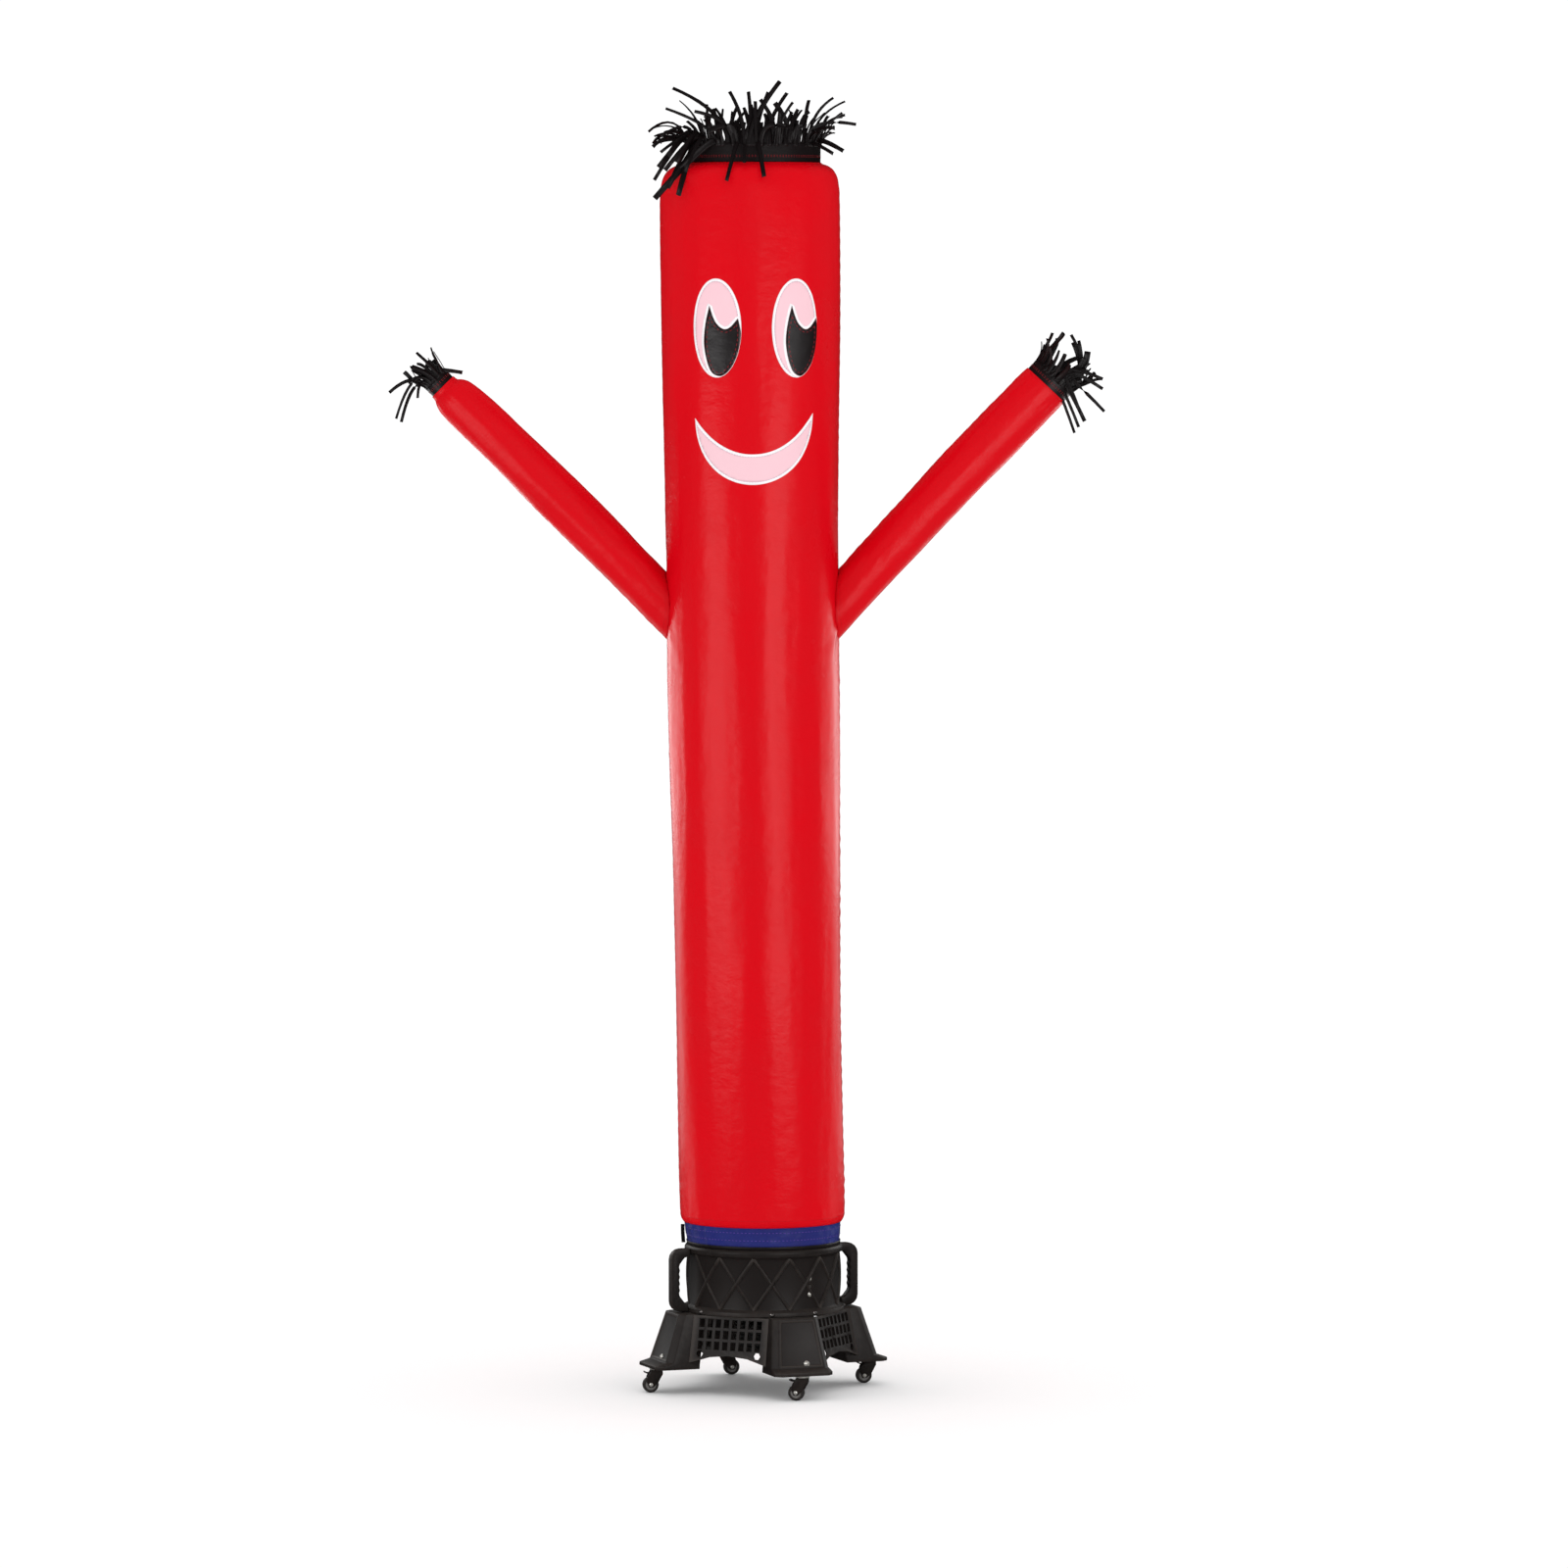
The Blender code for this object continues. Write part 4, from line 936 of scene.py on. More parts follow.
def all_finishes():
    """Every finish by name, in the colours that the panel gives."""
    look = bpy.context.scene.air_dancer_colours
    red, black, blue, plastic = (tuple(value) for value in (look.red, look.black, look.blue, look.plastic))
    white, pale = tuple(look.white), tuple(look.pale)
    deep_red = dimmed(red, 0.88)
    cloth, moulded, metal, thread = cloth_finish, plastic_finish, metal_finish, thread_finish
    return {
        "red": cloth("Red coated nylon", red, deep_red, 0.25, specular=0.065, seams=True),
        "sleeve": cloth("Red sleeve nylon", red, deep_red, 0.30, specular=0.06),
        "black": cloth("Black nylon", black, linear(27, 20, 21), 0.44, 0.0008, 0.00006, 0.15),
        "blue": cloth("Blue nylon", blue, linear(34, 30, 98), 0.36, 0.0012, 0.00006, 0.20),
        "white": cloth("White face cloth", white, linear(244, 238, 242), 0.55, 0.0004, 0.00005, 0.12),
        "pink": cloth("Pale face cloth", pale, linear(238, 192, 202), 0.55, 0.0004, 0.00005, 0.12),
        "pupil": cloth("Black face cloth", black, linear(32, 25, 27), 0.30, 0.0006, 0.00006, 0.28),
        "plastic": moulded("Black moulded plastic", plastic, 0.40),
        "shiny_plastic": moulded("Black glossy plastic", dimmed(plastic, 0.7), 0.24, 0.00005, 0.2, 0.3),
        "rubber": moulded("Black tyre rubber", linear(30, 29, 29), 0.62, 0.00020, 0.5, 0.3),
        "hub": moulded("Grey hub plastic", linear(120, 118, 116), 0.38, 0.00008, 0.3, 0.2),
        "steel": metal("Zinc plated steel", linear(214, 212, 206), 0.30, linear(176, 172, 164), 0.55),
        "motor": metal("Painted motor steel", linear(70, 69, 68), 0.46, linear(44, 43, 42)),
        "blacked": metal("Blacked bolt steel", linear(104, 100, 98), 0.26, linear(52, 49, 48)),
        "red_thread": thread("Red thread", linear(176, 4, 16)),
        "dark_red_thread": thread("Dark red thread", linear(146, 24, 34)),
        "blue_thread": thread("Violet thread", linear(92, 66, 168)),
        "lilac_thread": thread("Lilac thread", linear(206, 188, 202)),
        "white_thread": thread("White thread", linear(252, 250, 251)),
    }


FINISHES = {}


def finish_of(name):
    """A finish by name, made with all the others the first time one is asked for."""
    if not FINISHES:
        FINISHES.update(all_finishes())
    return FINISHES[name]


# Cloth pieces


def build_tube(look):
    """The red tube: one sewn cloth with puckered side seams, a hem and a gathered neck."""

    def place(across, along):
        height = float(np.interp(tube_run(along), TUBE_RUN, TUBE_TABLE[0]))
        return AXIS @ tube_point(FULL_TURN * across, height, look)

    def flat(across, along):
        return across * TUBE_GIRTH, tube_run(along)

    bm = bmesh.new()
    roll_grid(bm, TUBE_COLUMNS, TUBE_ROWS, place, flat)
    hidden = []
    for side in ARM_ROOTS:
        to_arm = (AXIS @ arm_frame(side)).inverted()
        radius = ARM_RINGS[side][0].radius - 0.004
        for face in bm.faces:
            if abs(face.calc_center_median().z - ARM_HEIGHT) > 0.2:
                continue
            spots = [to_arm @ point.co for point in face.verts]
            if all(spot.z > ARM_START and math.hypot(spot.x, spot.y) < radius for spot in spots):
                hidden.append(face)
    bmesh.ops.delete(bm, geom=hidden, context="FACES")
    bmesh.ops.recalc_face_normals(bm, faces=bm.faces)
    piece = finished(
        "tube_cloth", bm, [finish_of("red")], slot="red_nylon", stands_for=["tube"], wall=CLOTH,
    )
    rows = [[(angle, HEM_STITCH, STITCH_LIFT) for angle in whole_turn(BAND_STEPS)]]
    rows.append([(angle, NECK_SEAM + 0.0012, STITCH_LIFT / 2) for angle in whole_turn(BAND_STEPS)])
    heights = [SEAM_FROM + (SEAM_TO - SEAM_FROM) * i / SEAM_STEPS for i in range(SEAM_STEPS + 1)]
    under_arms = [height for height in heights if height < SEAM_BREAK[0]]
    over_arms = [height for height in heights if height > SEAM_BREAK[1]]
    for side in (0.0, math.pi):
        for shift in (-SEAM_ROW_SHIFT, SEAM_ROW_SHIFT):
            angle = side + shift / TUBE_RADIUS
            rows += [[(angle, height, STITCH_LIFT) for height in part] for part in (under_arms, over_arms)]
    places = []
    for row in rows:
        path = [AXIS @ tube_point(angle, height, look, proud) for angle, height, proud in row]
        places += stitch_places(path, [radial(spot[0]) for spot in row], look)
    sew("tube_stitches", places, "red_thread")
    return piece


def build_arm(side, look):
    """One sleeve, sewn into the tube's side at its root."""
    table = sleeve_table(side)
    end = float(table[0][-1])
    angles = whole_turn(ARM_COLUMNS)
    roots = [sleeve_root(side, table, angle, look) for angle in angles]

    def run(across, along):
        root = roots[round(across * ARM_COLUMNS)]
        share = along - SLEEVE_CROWDING * math.sin(FULL_TURN * along) / FULL_TURN
        return root + share * (end - root)

    def place(across, along):
        return AXIS @ sleeve_point(side, table, run(across, along), FULL_TURN * across, look)

    def flat(across, along):
        return across * FULL_TURN * SLEEVE_RADIUS, run(across, along)

    bm = bmesh.new()
    roll_grid(bm, ARM_COLUMNS, ARM_ROWS, place, flat)
    bmesh.ops.recalc_face_normals(bm, faces=bm.faces)
    piece = finished(
        f"arm_cloth_{side}", bm, [finish_of("sleeve")], slot="red_nylon", stands_for=[f"arm_{side}"],
        wall=CLOTH,
    )
    rows = [[(angle, root + level) for angle, root in zip(angles, roots)] for level in ROOT_ROWS]
    rows.append([(angle, end - END_ROW) for angle in angles])
    step = (end - SLEEVE_SEAM_SHORT) / SLEEVE_SEAM_STEPS
    for shift in (-SLEEVE_ROW_SHIFT, SLEEVE_ROW_SHIFT):
        angle = math.pi + shift / SLEEVE_RADIUS
        rows.append([(angle, SLEEVE_SEAM_FROM + step * i) for i in range(SLEEVE_SEAM_STEPS + 1)])
    arm = AXIS @ arm_frame(side)
    axis = arm.to_3x3() @ UP
    places = []
    for row in rows:
        path = [AXIS @ sleeve_point(side, table, level, angle, look, STITCH_LIFT) for angle, level in row]
        rays = [point - arm.translation for point in path]
        places += stitch_places(path, [(ray - axis * ray.dot(axis)).normalized() for ray in rays], look)
    sew(f"arm_stitches_{side}", places, "red_thread")
    return piece


# Face


def eye_outline(shrink=0.0, points=72):
    """An upright ellipse, or a smaller one inside it."""
    half_width, half_height = EYE_HALF[0] - shrink, EYE_HALF[1] - shrink
    angles = [FULL_TURN * i / points for i in range(points)]
    return [(half_width * math.cos(a), EYE_HEIGHT + half_height * math.sin(a)) for a in angles]


def curve_through(points, steps):
    """An open smooth curve through points, ends included."""
    padded = [points[0], *points, points[-1]]
    made = []
    for corners in zip(padded, padded[1:], padded[2:], padded[3:]):
        for t in [k / steps for k in range(steps)]:
            made.append(tuple(
                0.5 * (
                    2 * q + (r - p) * t + (2 * p - 5 * q + 4 * r - s) * t * t
                    + (3 * q - p - 3 * r + s) * t ** 3
                )
                for p, q, r, s in zip(*corners)
            ))
    return made + [tuple(points[-1])]


def pupil_outline(side, grow=0.0):
    """Two horns, a notch between them and a round foot, kept inside the eye."""
    shift = PUPIL_SHIFT[side]
    spots = [
        (EYE_HALF[0] * PUPIL_FIT * (a + shift), EYE_HEIGHT + EYE_HALF[1] * PUPIL_FIT * b) for a, b in PUPIL
    ]
    notch = curve_through(spots[:PUPIL_HORN + 1], 6)
    foot = curve_through(spots[PUPIL_HORN:] + spots[:1], 6)
    outline = notch[:-1] + foot[:-1]
    if grow:
        outline = shifted_outline(outline, grow)
    kept = []
    for along, height in outline:
        share = math.hypot(along / EYE_HALF[0], (height - EYE_HEIGHT) / EYE_HALF[1])
        limit = PUPIL_FIT + (0.010 if grow > 0 else 0.0)
        squeeze = min(1.0, limit / share)
        kept.append((along * squeeze, EYE_HEIGHT + (height - EYE_HEIGHT) * squeeze))
    return kept


def signed_area(outline):
    return sum(a[0] * b[1] - b[0] * a[1] for a, b in zip(outline, outline[1:] + outline[:1])) / 2


def shifted_outline(outline, grow):
    """An outline moved out of itself, or into itself where grow is negative."""
    turn = 1 if signed_area(outline) > 0 else -1
    count = len(outline)
    moved = []
    for i, (x, y) in enumerate(outline):
        before, after = outline[i - 1], outline[(i + 1) % count]
        dx, dy = after[0] - before[0], after[1] - before[1]
        size = math.hypot(dx, dy) or 1.0
        moved.append((x + turn * grow * dy / size, y - turn * grow * dx / size))
    if grow > 0:
        return moved
    clear = []
    for x, y in moved:
        if min(math.hypot(x - a, y - b) for a, b in outline) > -grow * 0.93:
            clear.append((x, y))
    return clear


def mouth_drops(along):
    """How far the mouth's lower and upper edges hang under its tips."""
    share = min(1.0, abs(along) / MOUTH_HALF_WIDTH)
    return MOUTH_OUTER_DEPTH * math.sqrt(1 - share * share), MOUTH_INNER_DEPTH * (1 - share ** 2.1)


def mouth_outline(shrink=0.0, steps=40):
    """A crescent between two sharp tips, or a smaller one inside it."""
    lower, upper = [], []
    for i in range(-steps, steps + 1):
        along = MOUTH_HALF_WIDTH * math.sin(math.pi / 2 * i / steps)
        low, high = mouth_drops(along)
        if shrink:
            nudge = 0.0005 if along < 0 else -0.0005
            beside = mouth_drops(along + nudge)
            low -= shrink * math.hypot(1.0, (beside[0] - low) / 0.0005)
            high += shrink * math.hypot(1.0, (beside[1] - high) / 0.0005)
            if low < high + 0.0010:
                continue
        tilt = MOUTH_TILT * along
        lower.append((along, MOUTH_TIP_HEIGHT + tilt - low))
        if shrink or abs(i) < steps:
            upper.append((along, MOUTH_TIP_HEIGHT + tilt - high))
    return lower + upper[::-1]


def face_point(along, height, turn, look, proud):
    """A place on the front of the tube, by its distance along the cloth from a turn."""
    _, radius = at_level(TUBE_TABLE, height)
    angle = -math.pi / 2 + turn + along / radius
    return AXIS @ tube_point(angle, height, look, proud), radial(angle)


def build_patch(name, outline, turn, layer, finish, look, slot, stands_for=()):
    """A patch of thin cloth, cut to an outline, that lies on the tube."""
    bm = bmesh.new()
    corners = [bm.verts.new((along, 0.0, height)) for along, height in outline]
    bm.faces.new(corners)
    for axis in (0, 2):
        values = [point.co[axis] for point in corners]
        count = int((max(values) - min(values)) / PATCH_CELL)
        normal = Vector((1.0, 0.0, 0.0)) if axis == 0 else UP
        for k in range(1, count + 1):
            level = min(values) + (max(values) - min(values)) * k / (count + 1)
            bmesh.ops.bisect_plane(
                bm, geom=[*bm.verts, *bm.edges, *bm.faces], dist=1e-6, plane_co=normal * level,
                plane_no=normal,
            )
    uv_layer = bm.loops.layers.uv.verify()
    for face in bm.faces:
        for loop in face.loops:
            loop[uv_layer].uv = (loop.vert.co.x, loop.vert.co.z)
    for point in bm.verts:
        point.co, _ = face_point(point.co.x, point.co.z, turn, look, layer.low + layer.thick)
    bm.normal_update()
    inward = [face for face in bm.faces if face.normal.dot(radial(-math.pi / 2 + turn)) < 0]
    bmesh.ops.reverse_faces(bm, faces=inward)
    piece = finished(
        name, bm, [finish_of(finish)], slot=slot, stands_for=stands_for, wall=layer.thick, smooth=60.0,
    )
    lengths, heights = zip(*outline)
    flat = (max(lengths) - min(lengths), max(heights) - min(heights))
    area = max(abs(signed_area(outline)), LEAST_FILL * flat[0] * flat[1])


def sew_outline(name, outline, turn, look, proud, thread, slant=0.0, scale=1.0, wrap=True):
    """Stitches along an outline on the face."""
    loop = outline + outline[:1] if wrap else outline
    path, outs = zip(*[face_point(along, height, turn, look, proud) for along, height in loop])
    sew(name, stitch_places(path, outs, look, slant, scale), thread)


def over(layer):
    """The height of stitches on a layer of the face."""
    return layer.low + layer.thick + 0.0001


def build_eye(side, look):
    """An eye: white base, pale fill, white margin round the pupil, and the black pupil."""
    turn = FACE_TURN + (EYE_ANGLE if side == "right" else -EYE_ANGLE)
    base, fill = eye_outline(), eye_outline(FACE_BORDER)
    margin, pupil = pupil_outline(side, FACE_BORDER), pupil_outline(side)
    for name, outline, layer, finish, slot, nodes in (
        ("eye_base", base, BASE_LAYER, "white", "white_cloth", [f"eye_{side}"]),
        ("eye_fill", fill, FILL_LAYER, "pink", "white_cloth", []),
        ("eye_margin", margin, MARGIN_LAYER, "white", "white_cloth", []),
        ("pupil_cloth", pupil, PUPIL_LAYER, "pupil", "black_nylon", [f"pupil_{side}"]),
    ):
        build_patch(f"{name}_{side}", outline, turn, layer, finish, look, slot, nodes)
    bold = look.bold_stitch
    edge = shifted_outline(base, -0.0018)
    sew_outline(f"eye_stitches_{side}", edge, turn, look, over(BASE_LAYER), "white_thread", 1.1, 0.9)
    line, lift = visible_part(fill, margin), over(BASE_LAYER) + FILL_LAYER.thick
    sew_outline(f"eye_line_{side}", line, turn, look, lift, "lilac_thread", 0.0, bold * 0.7, wrap=False)
    top, thread = over(PUPIL_LAYER), "dark_red_thread"
    inner, edge = shifted_outline(pupil, -0.0085), shifted_outline(pupil, -0.0012)
    sew_outline(f"pupil_line_{side}", inner, turn, look, top, thread, 0.0, bold * 1.2)
    sew_outline(f"pupil_edge_{side}", edge, turn, look, top, thread, 1.1)


def visible_part(outline, cover):
    """The longest run of an outline that another outline doesn't cover."""
    def covered(spot):
        inside = False
        for a, b in zip(cover, cover[1:] + cover[:1]):
            if (a[1] > spot[1]) != (b[1] > spot[1]):
                if spot[0] < a[0] + (b[0] - a[0]) * (spot[1] - a[1]) / (b[1] - a[1]):
                    inside = not inside
        return inside

    flags = [covered(spot) for spot in outline]
    if not any(flags):
        return outline
    first = next(i for i, flag in enumerate(flags) if flag and not flags[(i + 1) % len(flags)])
    turned_round = outline[first + 1:] + outline[:first + 1]
    kept = []
    for spot in turned_round:
        if covered(spot):
            break
        kept.append(spot)
    return kept


def build_mouth(look):
    """The smile: white base and pale fill."""
    base, fill = mouth_outline(), mouth_outline(FACE_BORDER)
    build_patch("mouth_base", base, MOUTH_TURN, BASE_LAYER, "white", look, "white_cloth", ["mouth"])
    build_patch("mouth_fill", fill, MOUTH_TURN, FILL_LAYER, "pink", look, "white_cloth")
    edge, low = shifted_outline(base, -0.0018), over(BASE_LAYER)
    sew_outline("mouth_stitches", edge, MOUTH_TURN, look, low, "white_thread", 1.1, 0.9)
    lift, scale = low + FILL_LAYER.thick, look.bold_stitch * 0.7
    sew_outline("mouth_line", fill, MOUTH_TURN, look, lift, "lilac_thread", 0.0, scale)


# Fringes


def zone_at(zones, degrees):
    for zone in zones:
        if (degrees - zone.start) % 360 < zone.end - zone.start:
            return zone
    raise ValueError("no zone at this angle")


def grow_ribbon(bm, path, sides, widths, curl):
    """One lock of cloth along a path of points, curled across its width."""
    rows = len(path) - 1
    runs = [0.0]
    for a, b in zip(path, path[1:]):
        runs.append(runs[-1] + (b - a).length)

    def place(across, along):
        at = round(along * rows)
        bow = curl * widths[at] * math.cos(math.pi * (across - 0.5))
        ahead = path[min(at + 1, rows)] - path[max(at - 1, 0)]
        out = sides[at].cross(ahead).normalized()
        return path[at] + sides[at] * (widths[at] * (across - 0.5)) + out * bow

    def flat(across, along):
        return across * widths[0], runs[round(along * rows)]

    roll_grid(bm, 4, rows, place, flat, closed=False)


def free_path(root, axis, out, side, length, first, last, yaw, wave, steps=10):
    """A lock that leaves its root along the band's axis and bends from its first to its last tilt."""
    path = [root - axis * 0.006, root.copy()]
    step = length / steps
    for k in range(steps):
        share = (k + 0.5) / steps
        tilt = math.radians(first + (last - first) * share ** 1.25 + wave * math.sin(FULL_TURN * share))
        lean = math.radians(yaw * share)
        ahead = axis * math.cos(tilt) + out * math.sin(tilt)
        ahead = (ahead * math.cos(lean) + side * math.sin(lean)).normalized()
        path.append(path[-1] + ahead * step)
    return path


def aimed_path(root, axis, rise, end, steps=11):
    """A lock that rises from its root along the band's axis and then turns to a given end."""
    path = [root - axis * 0.006]
    control = root + axis * rise
    for k in range(steps + 1):
        t = k / steps
        path.append(root * (1 - t) ** 2 + control * (2 * t * (1 - t)) + end * t * t)
    return path


def ribbon_sides(path, side, twist, rng, shown=False):
    """Sideways directions of a lock, turning slowly about its path, or to the front where it is shown."""
    made = []
    spin = math.radians(rng.uniform(-twist, twist))
    start = math.radians(rng.uniform(-16, 16))
    count = len(path) - 1
    for k in range(len(path)):
        ahead = (path[min(k + 1, count)] - path[max(k - 1, 0)]).normalized()
        level = (side - ahead * side.dot(ahead)).normalized()
        share = max(0.0, (k - 1) / (count - 1))
        if shown:
            broad = ahead.cross(FRONT)
            broad = broad if broad.dot(level) > 0 else -broad
            level = level.lerp(broad.normalized(), min(1.0, share * 2.5))
            level = (level - ahead * level.dot(ahead)).normalized()
        turn = Matrix.Rotation(start * min(1, share * 4) + spin * share, 3, ahead)
        made.append(turn @ level)
    return made


def ribbon_widths(width, count, rng):
    """Widths from root to a cut end, a little narrower and uneven."""
    tip = rng.uniform(0.62, 0.92)
    return [width * (1 - (1 - tip) * k / count) * rng.uniform(0.94, 1.04) for k in range(count + 1)]


def build_fringe(name, place, band, columns, zones, count, features, look, seed, node):
    """A band of black cloth with cut locks in two layers, and those that show one by one."""
    low, high, radius = band
    rng = random.Random(seed)
    turn = place.to_3x3()
    axis = turn @ UP
    bm = bmesh.new()

    def wall(across, along):
        angle = FULL_TURN * across
        reach = radius + 0.0008 * math.sin(13 * angle + 2.0) * along
        level = low + (high + 0.004 - low) * along
        return place @ Vector((reach * math.cos(angle), reach * math.sin(angle), level))

    def flat(across, along):
        return across * FULL_TURN * radius, (high - low) * along

    def add_lock(path, side, twist, width, curls, shown=False):
        sides = ribbon_sides(path, side, twist, rng, shown)
        widths = ribbon_widths(width, len(path) - 1, rng)
        grow_ribbon(bm, path, sides, widths, rng.choice((-1, 1)) * rng.uniform(*curls))

    roll_grid(bm, columns, 8, wall, flat)
    for layer in range(2):
        for i in range(count):
            angle = FULL_TURN * (i + 0.5 * layer + rng.uniform(-0.2, 0.2)) / count
            zone = zone_at(zones, math.degrees(angle))
            out, side = turn @ radial(angle), turn @ tangent(angle)
            root = place @ (radial(angle) * (radius - 0.0016 * layer) + UP * high)
            length = zone.length * rng.uniform(*LENGTH_SHARES)
            first = zone.first_tilt + rng.uniform(-FIRST_SPREAD, FIRST_SPREAD) - 6 * layer
            last = zone.last_tilt + rng.uniform(-LAST_SPREAD, LAST_SPREAD) - 14 * layer
            yaw = rng.uniform(-YAW_SPREAD, YAW_SPREAD)
            wave = rng.uniform(-WAVE_SPREAD, WAVE_SPREAD)
            path = free_path(root, axis, out, side, length, first, last, yaw, wave)
            add_lock(path, side, LOCK_TWIST, look.lock_width * rng.uniform(*WIDTH_SHARES), LOCK_CURLS)
    for feature in features:
        angle = math.radians(feature.angle)
        root = place @ (radial(angle) * (radius + 0.0008) + UP * high)
        end = AXIS @ Vector((feature.x, feature.depth, feature.z))
        path = aimed_path(root, axis, feature.rise, end)
        add_lock(path, turn @ tangent(angle), FEATURE_TWIST, feature.width, FEATURE_CURLS, shown=True)
    finished(
        name, bm, [finish_of("black")], slot="black_nylon", stands_for=[node], wall=FRINGE_WALL,
        smooth=50.0,
    )
    places = []
    angles = whole_turn(BAND_STEPS // 2)
    for level in [low + height for height in BAND_STITCHES]:
        path = [place @ (radial(a) * (radius + FRINGE_WALL) + UP * level) for a in angles]
        outs = [turn @ radial(a) for a in angles]
        places += stitch_places(path, outs, look, 0.0, look.bold_stitch * 0.8)
    sew(f"{name}_stitches", places, "dark_red_thread")


# Skirt and tag


def skirt_point(angle, height, proud=0.0):
    lean, radius = at_level(SKIRT_TABLE, height)
    x, y = math.cos(angle), math.sin(angle)
    free = unit((0.468 - height) / 0.012) * min(1.0, max(0.15, (height - STRAP_LOW) / 0.020))
    ripple = 0.0016 * lumps(x * 7, y * 7, height * 26) + 0.0010 * lumps(x * 17, y * 17, height * 60)
    ruck = 0.0012 * math.sin(29 * angle + 3 * lumps(x * 3, y * 3, 0.0))
    overlap = turned(angle - SKIRT_OVERLAP) * 0.218
    fold = 0.0030 * bell(overlap, 0.004) + (0.0016 if 0 < overlap < 0.040 else 0.0)
    radius += proud + free * (max(ripple, -0.001) + ruck * 0.5 + fold)
    return Vector((lean + radius * x, radius * y, height))


def build_band(name, low, high, radius, proud, columns, rows, finish, slot, stands_for=()):
    """A band of cloth round the blower's outlet, on the skirt's own form."""

    def place(across, along):
        return AXIS @ skirt_point(FULL_TURN * across, low + (high - low) * along, proud)

    def flat(across, along):
        return across * FULL_TURN * radius, (high - low) * along

    bm = bmesh.new()
    roll_grid(bm, columns, rows, place, flat)
    bmesh.ops.recalc_face_normals(bm, faces=bm.faces)
    return finished(name, bm, [finish_of(finish)], slot=slot, stands_for=stands_for, wall=CLOTH)


def build_skirt(look):
    """The blue band over the blower's outlet, with two rows of stitching and an overlapped end."""
    low, high = SKIRT_RINGS[0].height, SKIRT_RINGS[-1].height
    piece = build_band(
        "skirt_cloth", low, high, SKIRT_RADIUS, 0.0, SKIRT_COLUMNS, 26, "blue", "blue_nylon", ["skirt"],
    )
    places = []
    angles = whole_turn(SKIRT_COLUMNS)
    for height in SKIRT_STITCHES:
        path = [AXIS @ skirt_point(a, height, 0.0003) for a in angles]
        places += stitch_places(path, [radial(a) for a in angles], look, 0.0, look.bold_stitch)
    sew("skirt_stitches", places, "blue_thread")
    return piece


def build_strap():
    """The narrow black webbing that holds the skirt's lower edge on the outlet."""
    high = STRAP_LOW + STRAP_WIDTH
    return build_band(
        "rim_strap", STRAP_LOW, high, STRAP_RADIUS, STRAP_LIFT, 144, 3, "black", "black_nylon",
    )


def build_tag():
    """The black tab at the left: a narrow strip that hangs from the skirt."""
    low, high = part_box("tag")
    middle = (low + high) / 2

    def place(across, along):
        x = high.x - TAG_WIDTH * (1.0 - across) + 0.0025 * (1.0 - along)
        y = middle.y + 0.0012 * math.sin(5.0 * along + 1.5 * across) + 0.0010 * across
        return Vector((x - 0.0010 * math.sin(math.pi * along), y, low.z + (high.z - low.z) * along))

    def flat(across, along):
        return TAG_WIDTH * across, (high.z - low.z) * along

    bm = bmesh.new()
    roll_grid(bm, 5, 16, place, flat, closed=False)
    finished("tag_strip", bm, [finish_of("black")], slot="black_nylon", stands_for=["tag"], wall=CLOTH)


# Blower


def soften_node(
    node, name, finish, width, body="root", slot="black_plastic", segments=2, angle=25.0, recess=None,
):
    """A copy of a solid with its edges rounded off, and a recess where the real part has one."""
    bm = bmesh.new()
    bm.from_mesh(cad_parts[node].data)
    bmesh.ops.remove_doubles(bm, verts=bm.verts, dist=1e-6)
    bmesh.ops.dissolve_limit(bm, angle_limit=math.radians(1.0), verts=bm.verts, edges=bm.edges)
    if recess:
        recess(bm)
    bevel_sharp(bm, width, angle, segments)
    bmesh.ops.recalc_face_normals(bm, faces=bm.faces)
    finished(name, bm, [finish_of(finish)], body=body, slot=slot, stands_for=[node], smooth=32.0)


def rib_section(angle, height, slant, proud, half):
    """Eight points round a rib: a rounded crest, and a foot sunk into the wall."""
    side = tangent(angle) * math.cos(slant) - UP * math.sin(slant)
    rise = ((-1.0, -0.0020), (-0.92, 0.0004), (-0.58, proud * 0.78), (-0.22, proud))
    section = [*rise, *((-share, lift) for share, lift in reversed(rise))]
    middle = UP * height
    return [middle + radial(angle) * (DRUM_WALL + lift) + side * (half * share) for share, lift in section]


def build_drum():
    """The round duct: flange, ribbed wall, rim bead and outlet collar."""
    bm = bmesh.new()
    spin_profile(bm, DRUM_PROFILE, DRUM_STEPS)
    rest = (math.pi - RIB_ZONE) / 2
    pitch = RIB_ZONE / RIB_PITCHES
    for lean, proud in RIB_PROUD.items():
        rising = lean == "rising"
        slant = math.atan2(pitch * DRUM_WALL, RIB_HIGH - RIB_LOW) * (1 if rising else -1)
        for number in range(2 * RIB_PITCHES):
            half, k = divmod(number, RIB_PITCHES)
            start = half * math.pi + rest + k * pitch

            half_width = RIB_HALF_WIDTH[lean]

            def place(across, along, start=start, rising=rising, slant=slant, proud=proud, width=half_width):
                angle = start + pitch * (along if rising else 1 - along)
                section = rib_section(angle, RIB_LOW + along * (RIB_HIGH - RIB_LOW), slant, proud, width)
                return section[round(across * 8) % 8]

            faces = roll_grid(bm, 8, 14, place, lambda across, along: (across, along), capped=True)
            bmesh.ops.recalc_face_normals(bm, faces=faces)
    bmesh.ops.transform(bm, matrix=TURNED, verts=bm.verts)
    finished("drum_shell", bm, [finish_of("plastic")], slot="black_plastic", stands_for=["drum"], smooth=30.0)


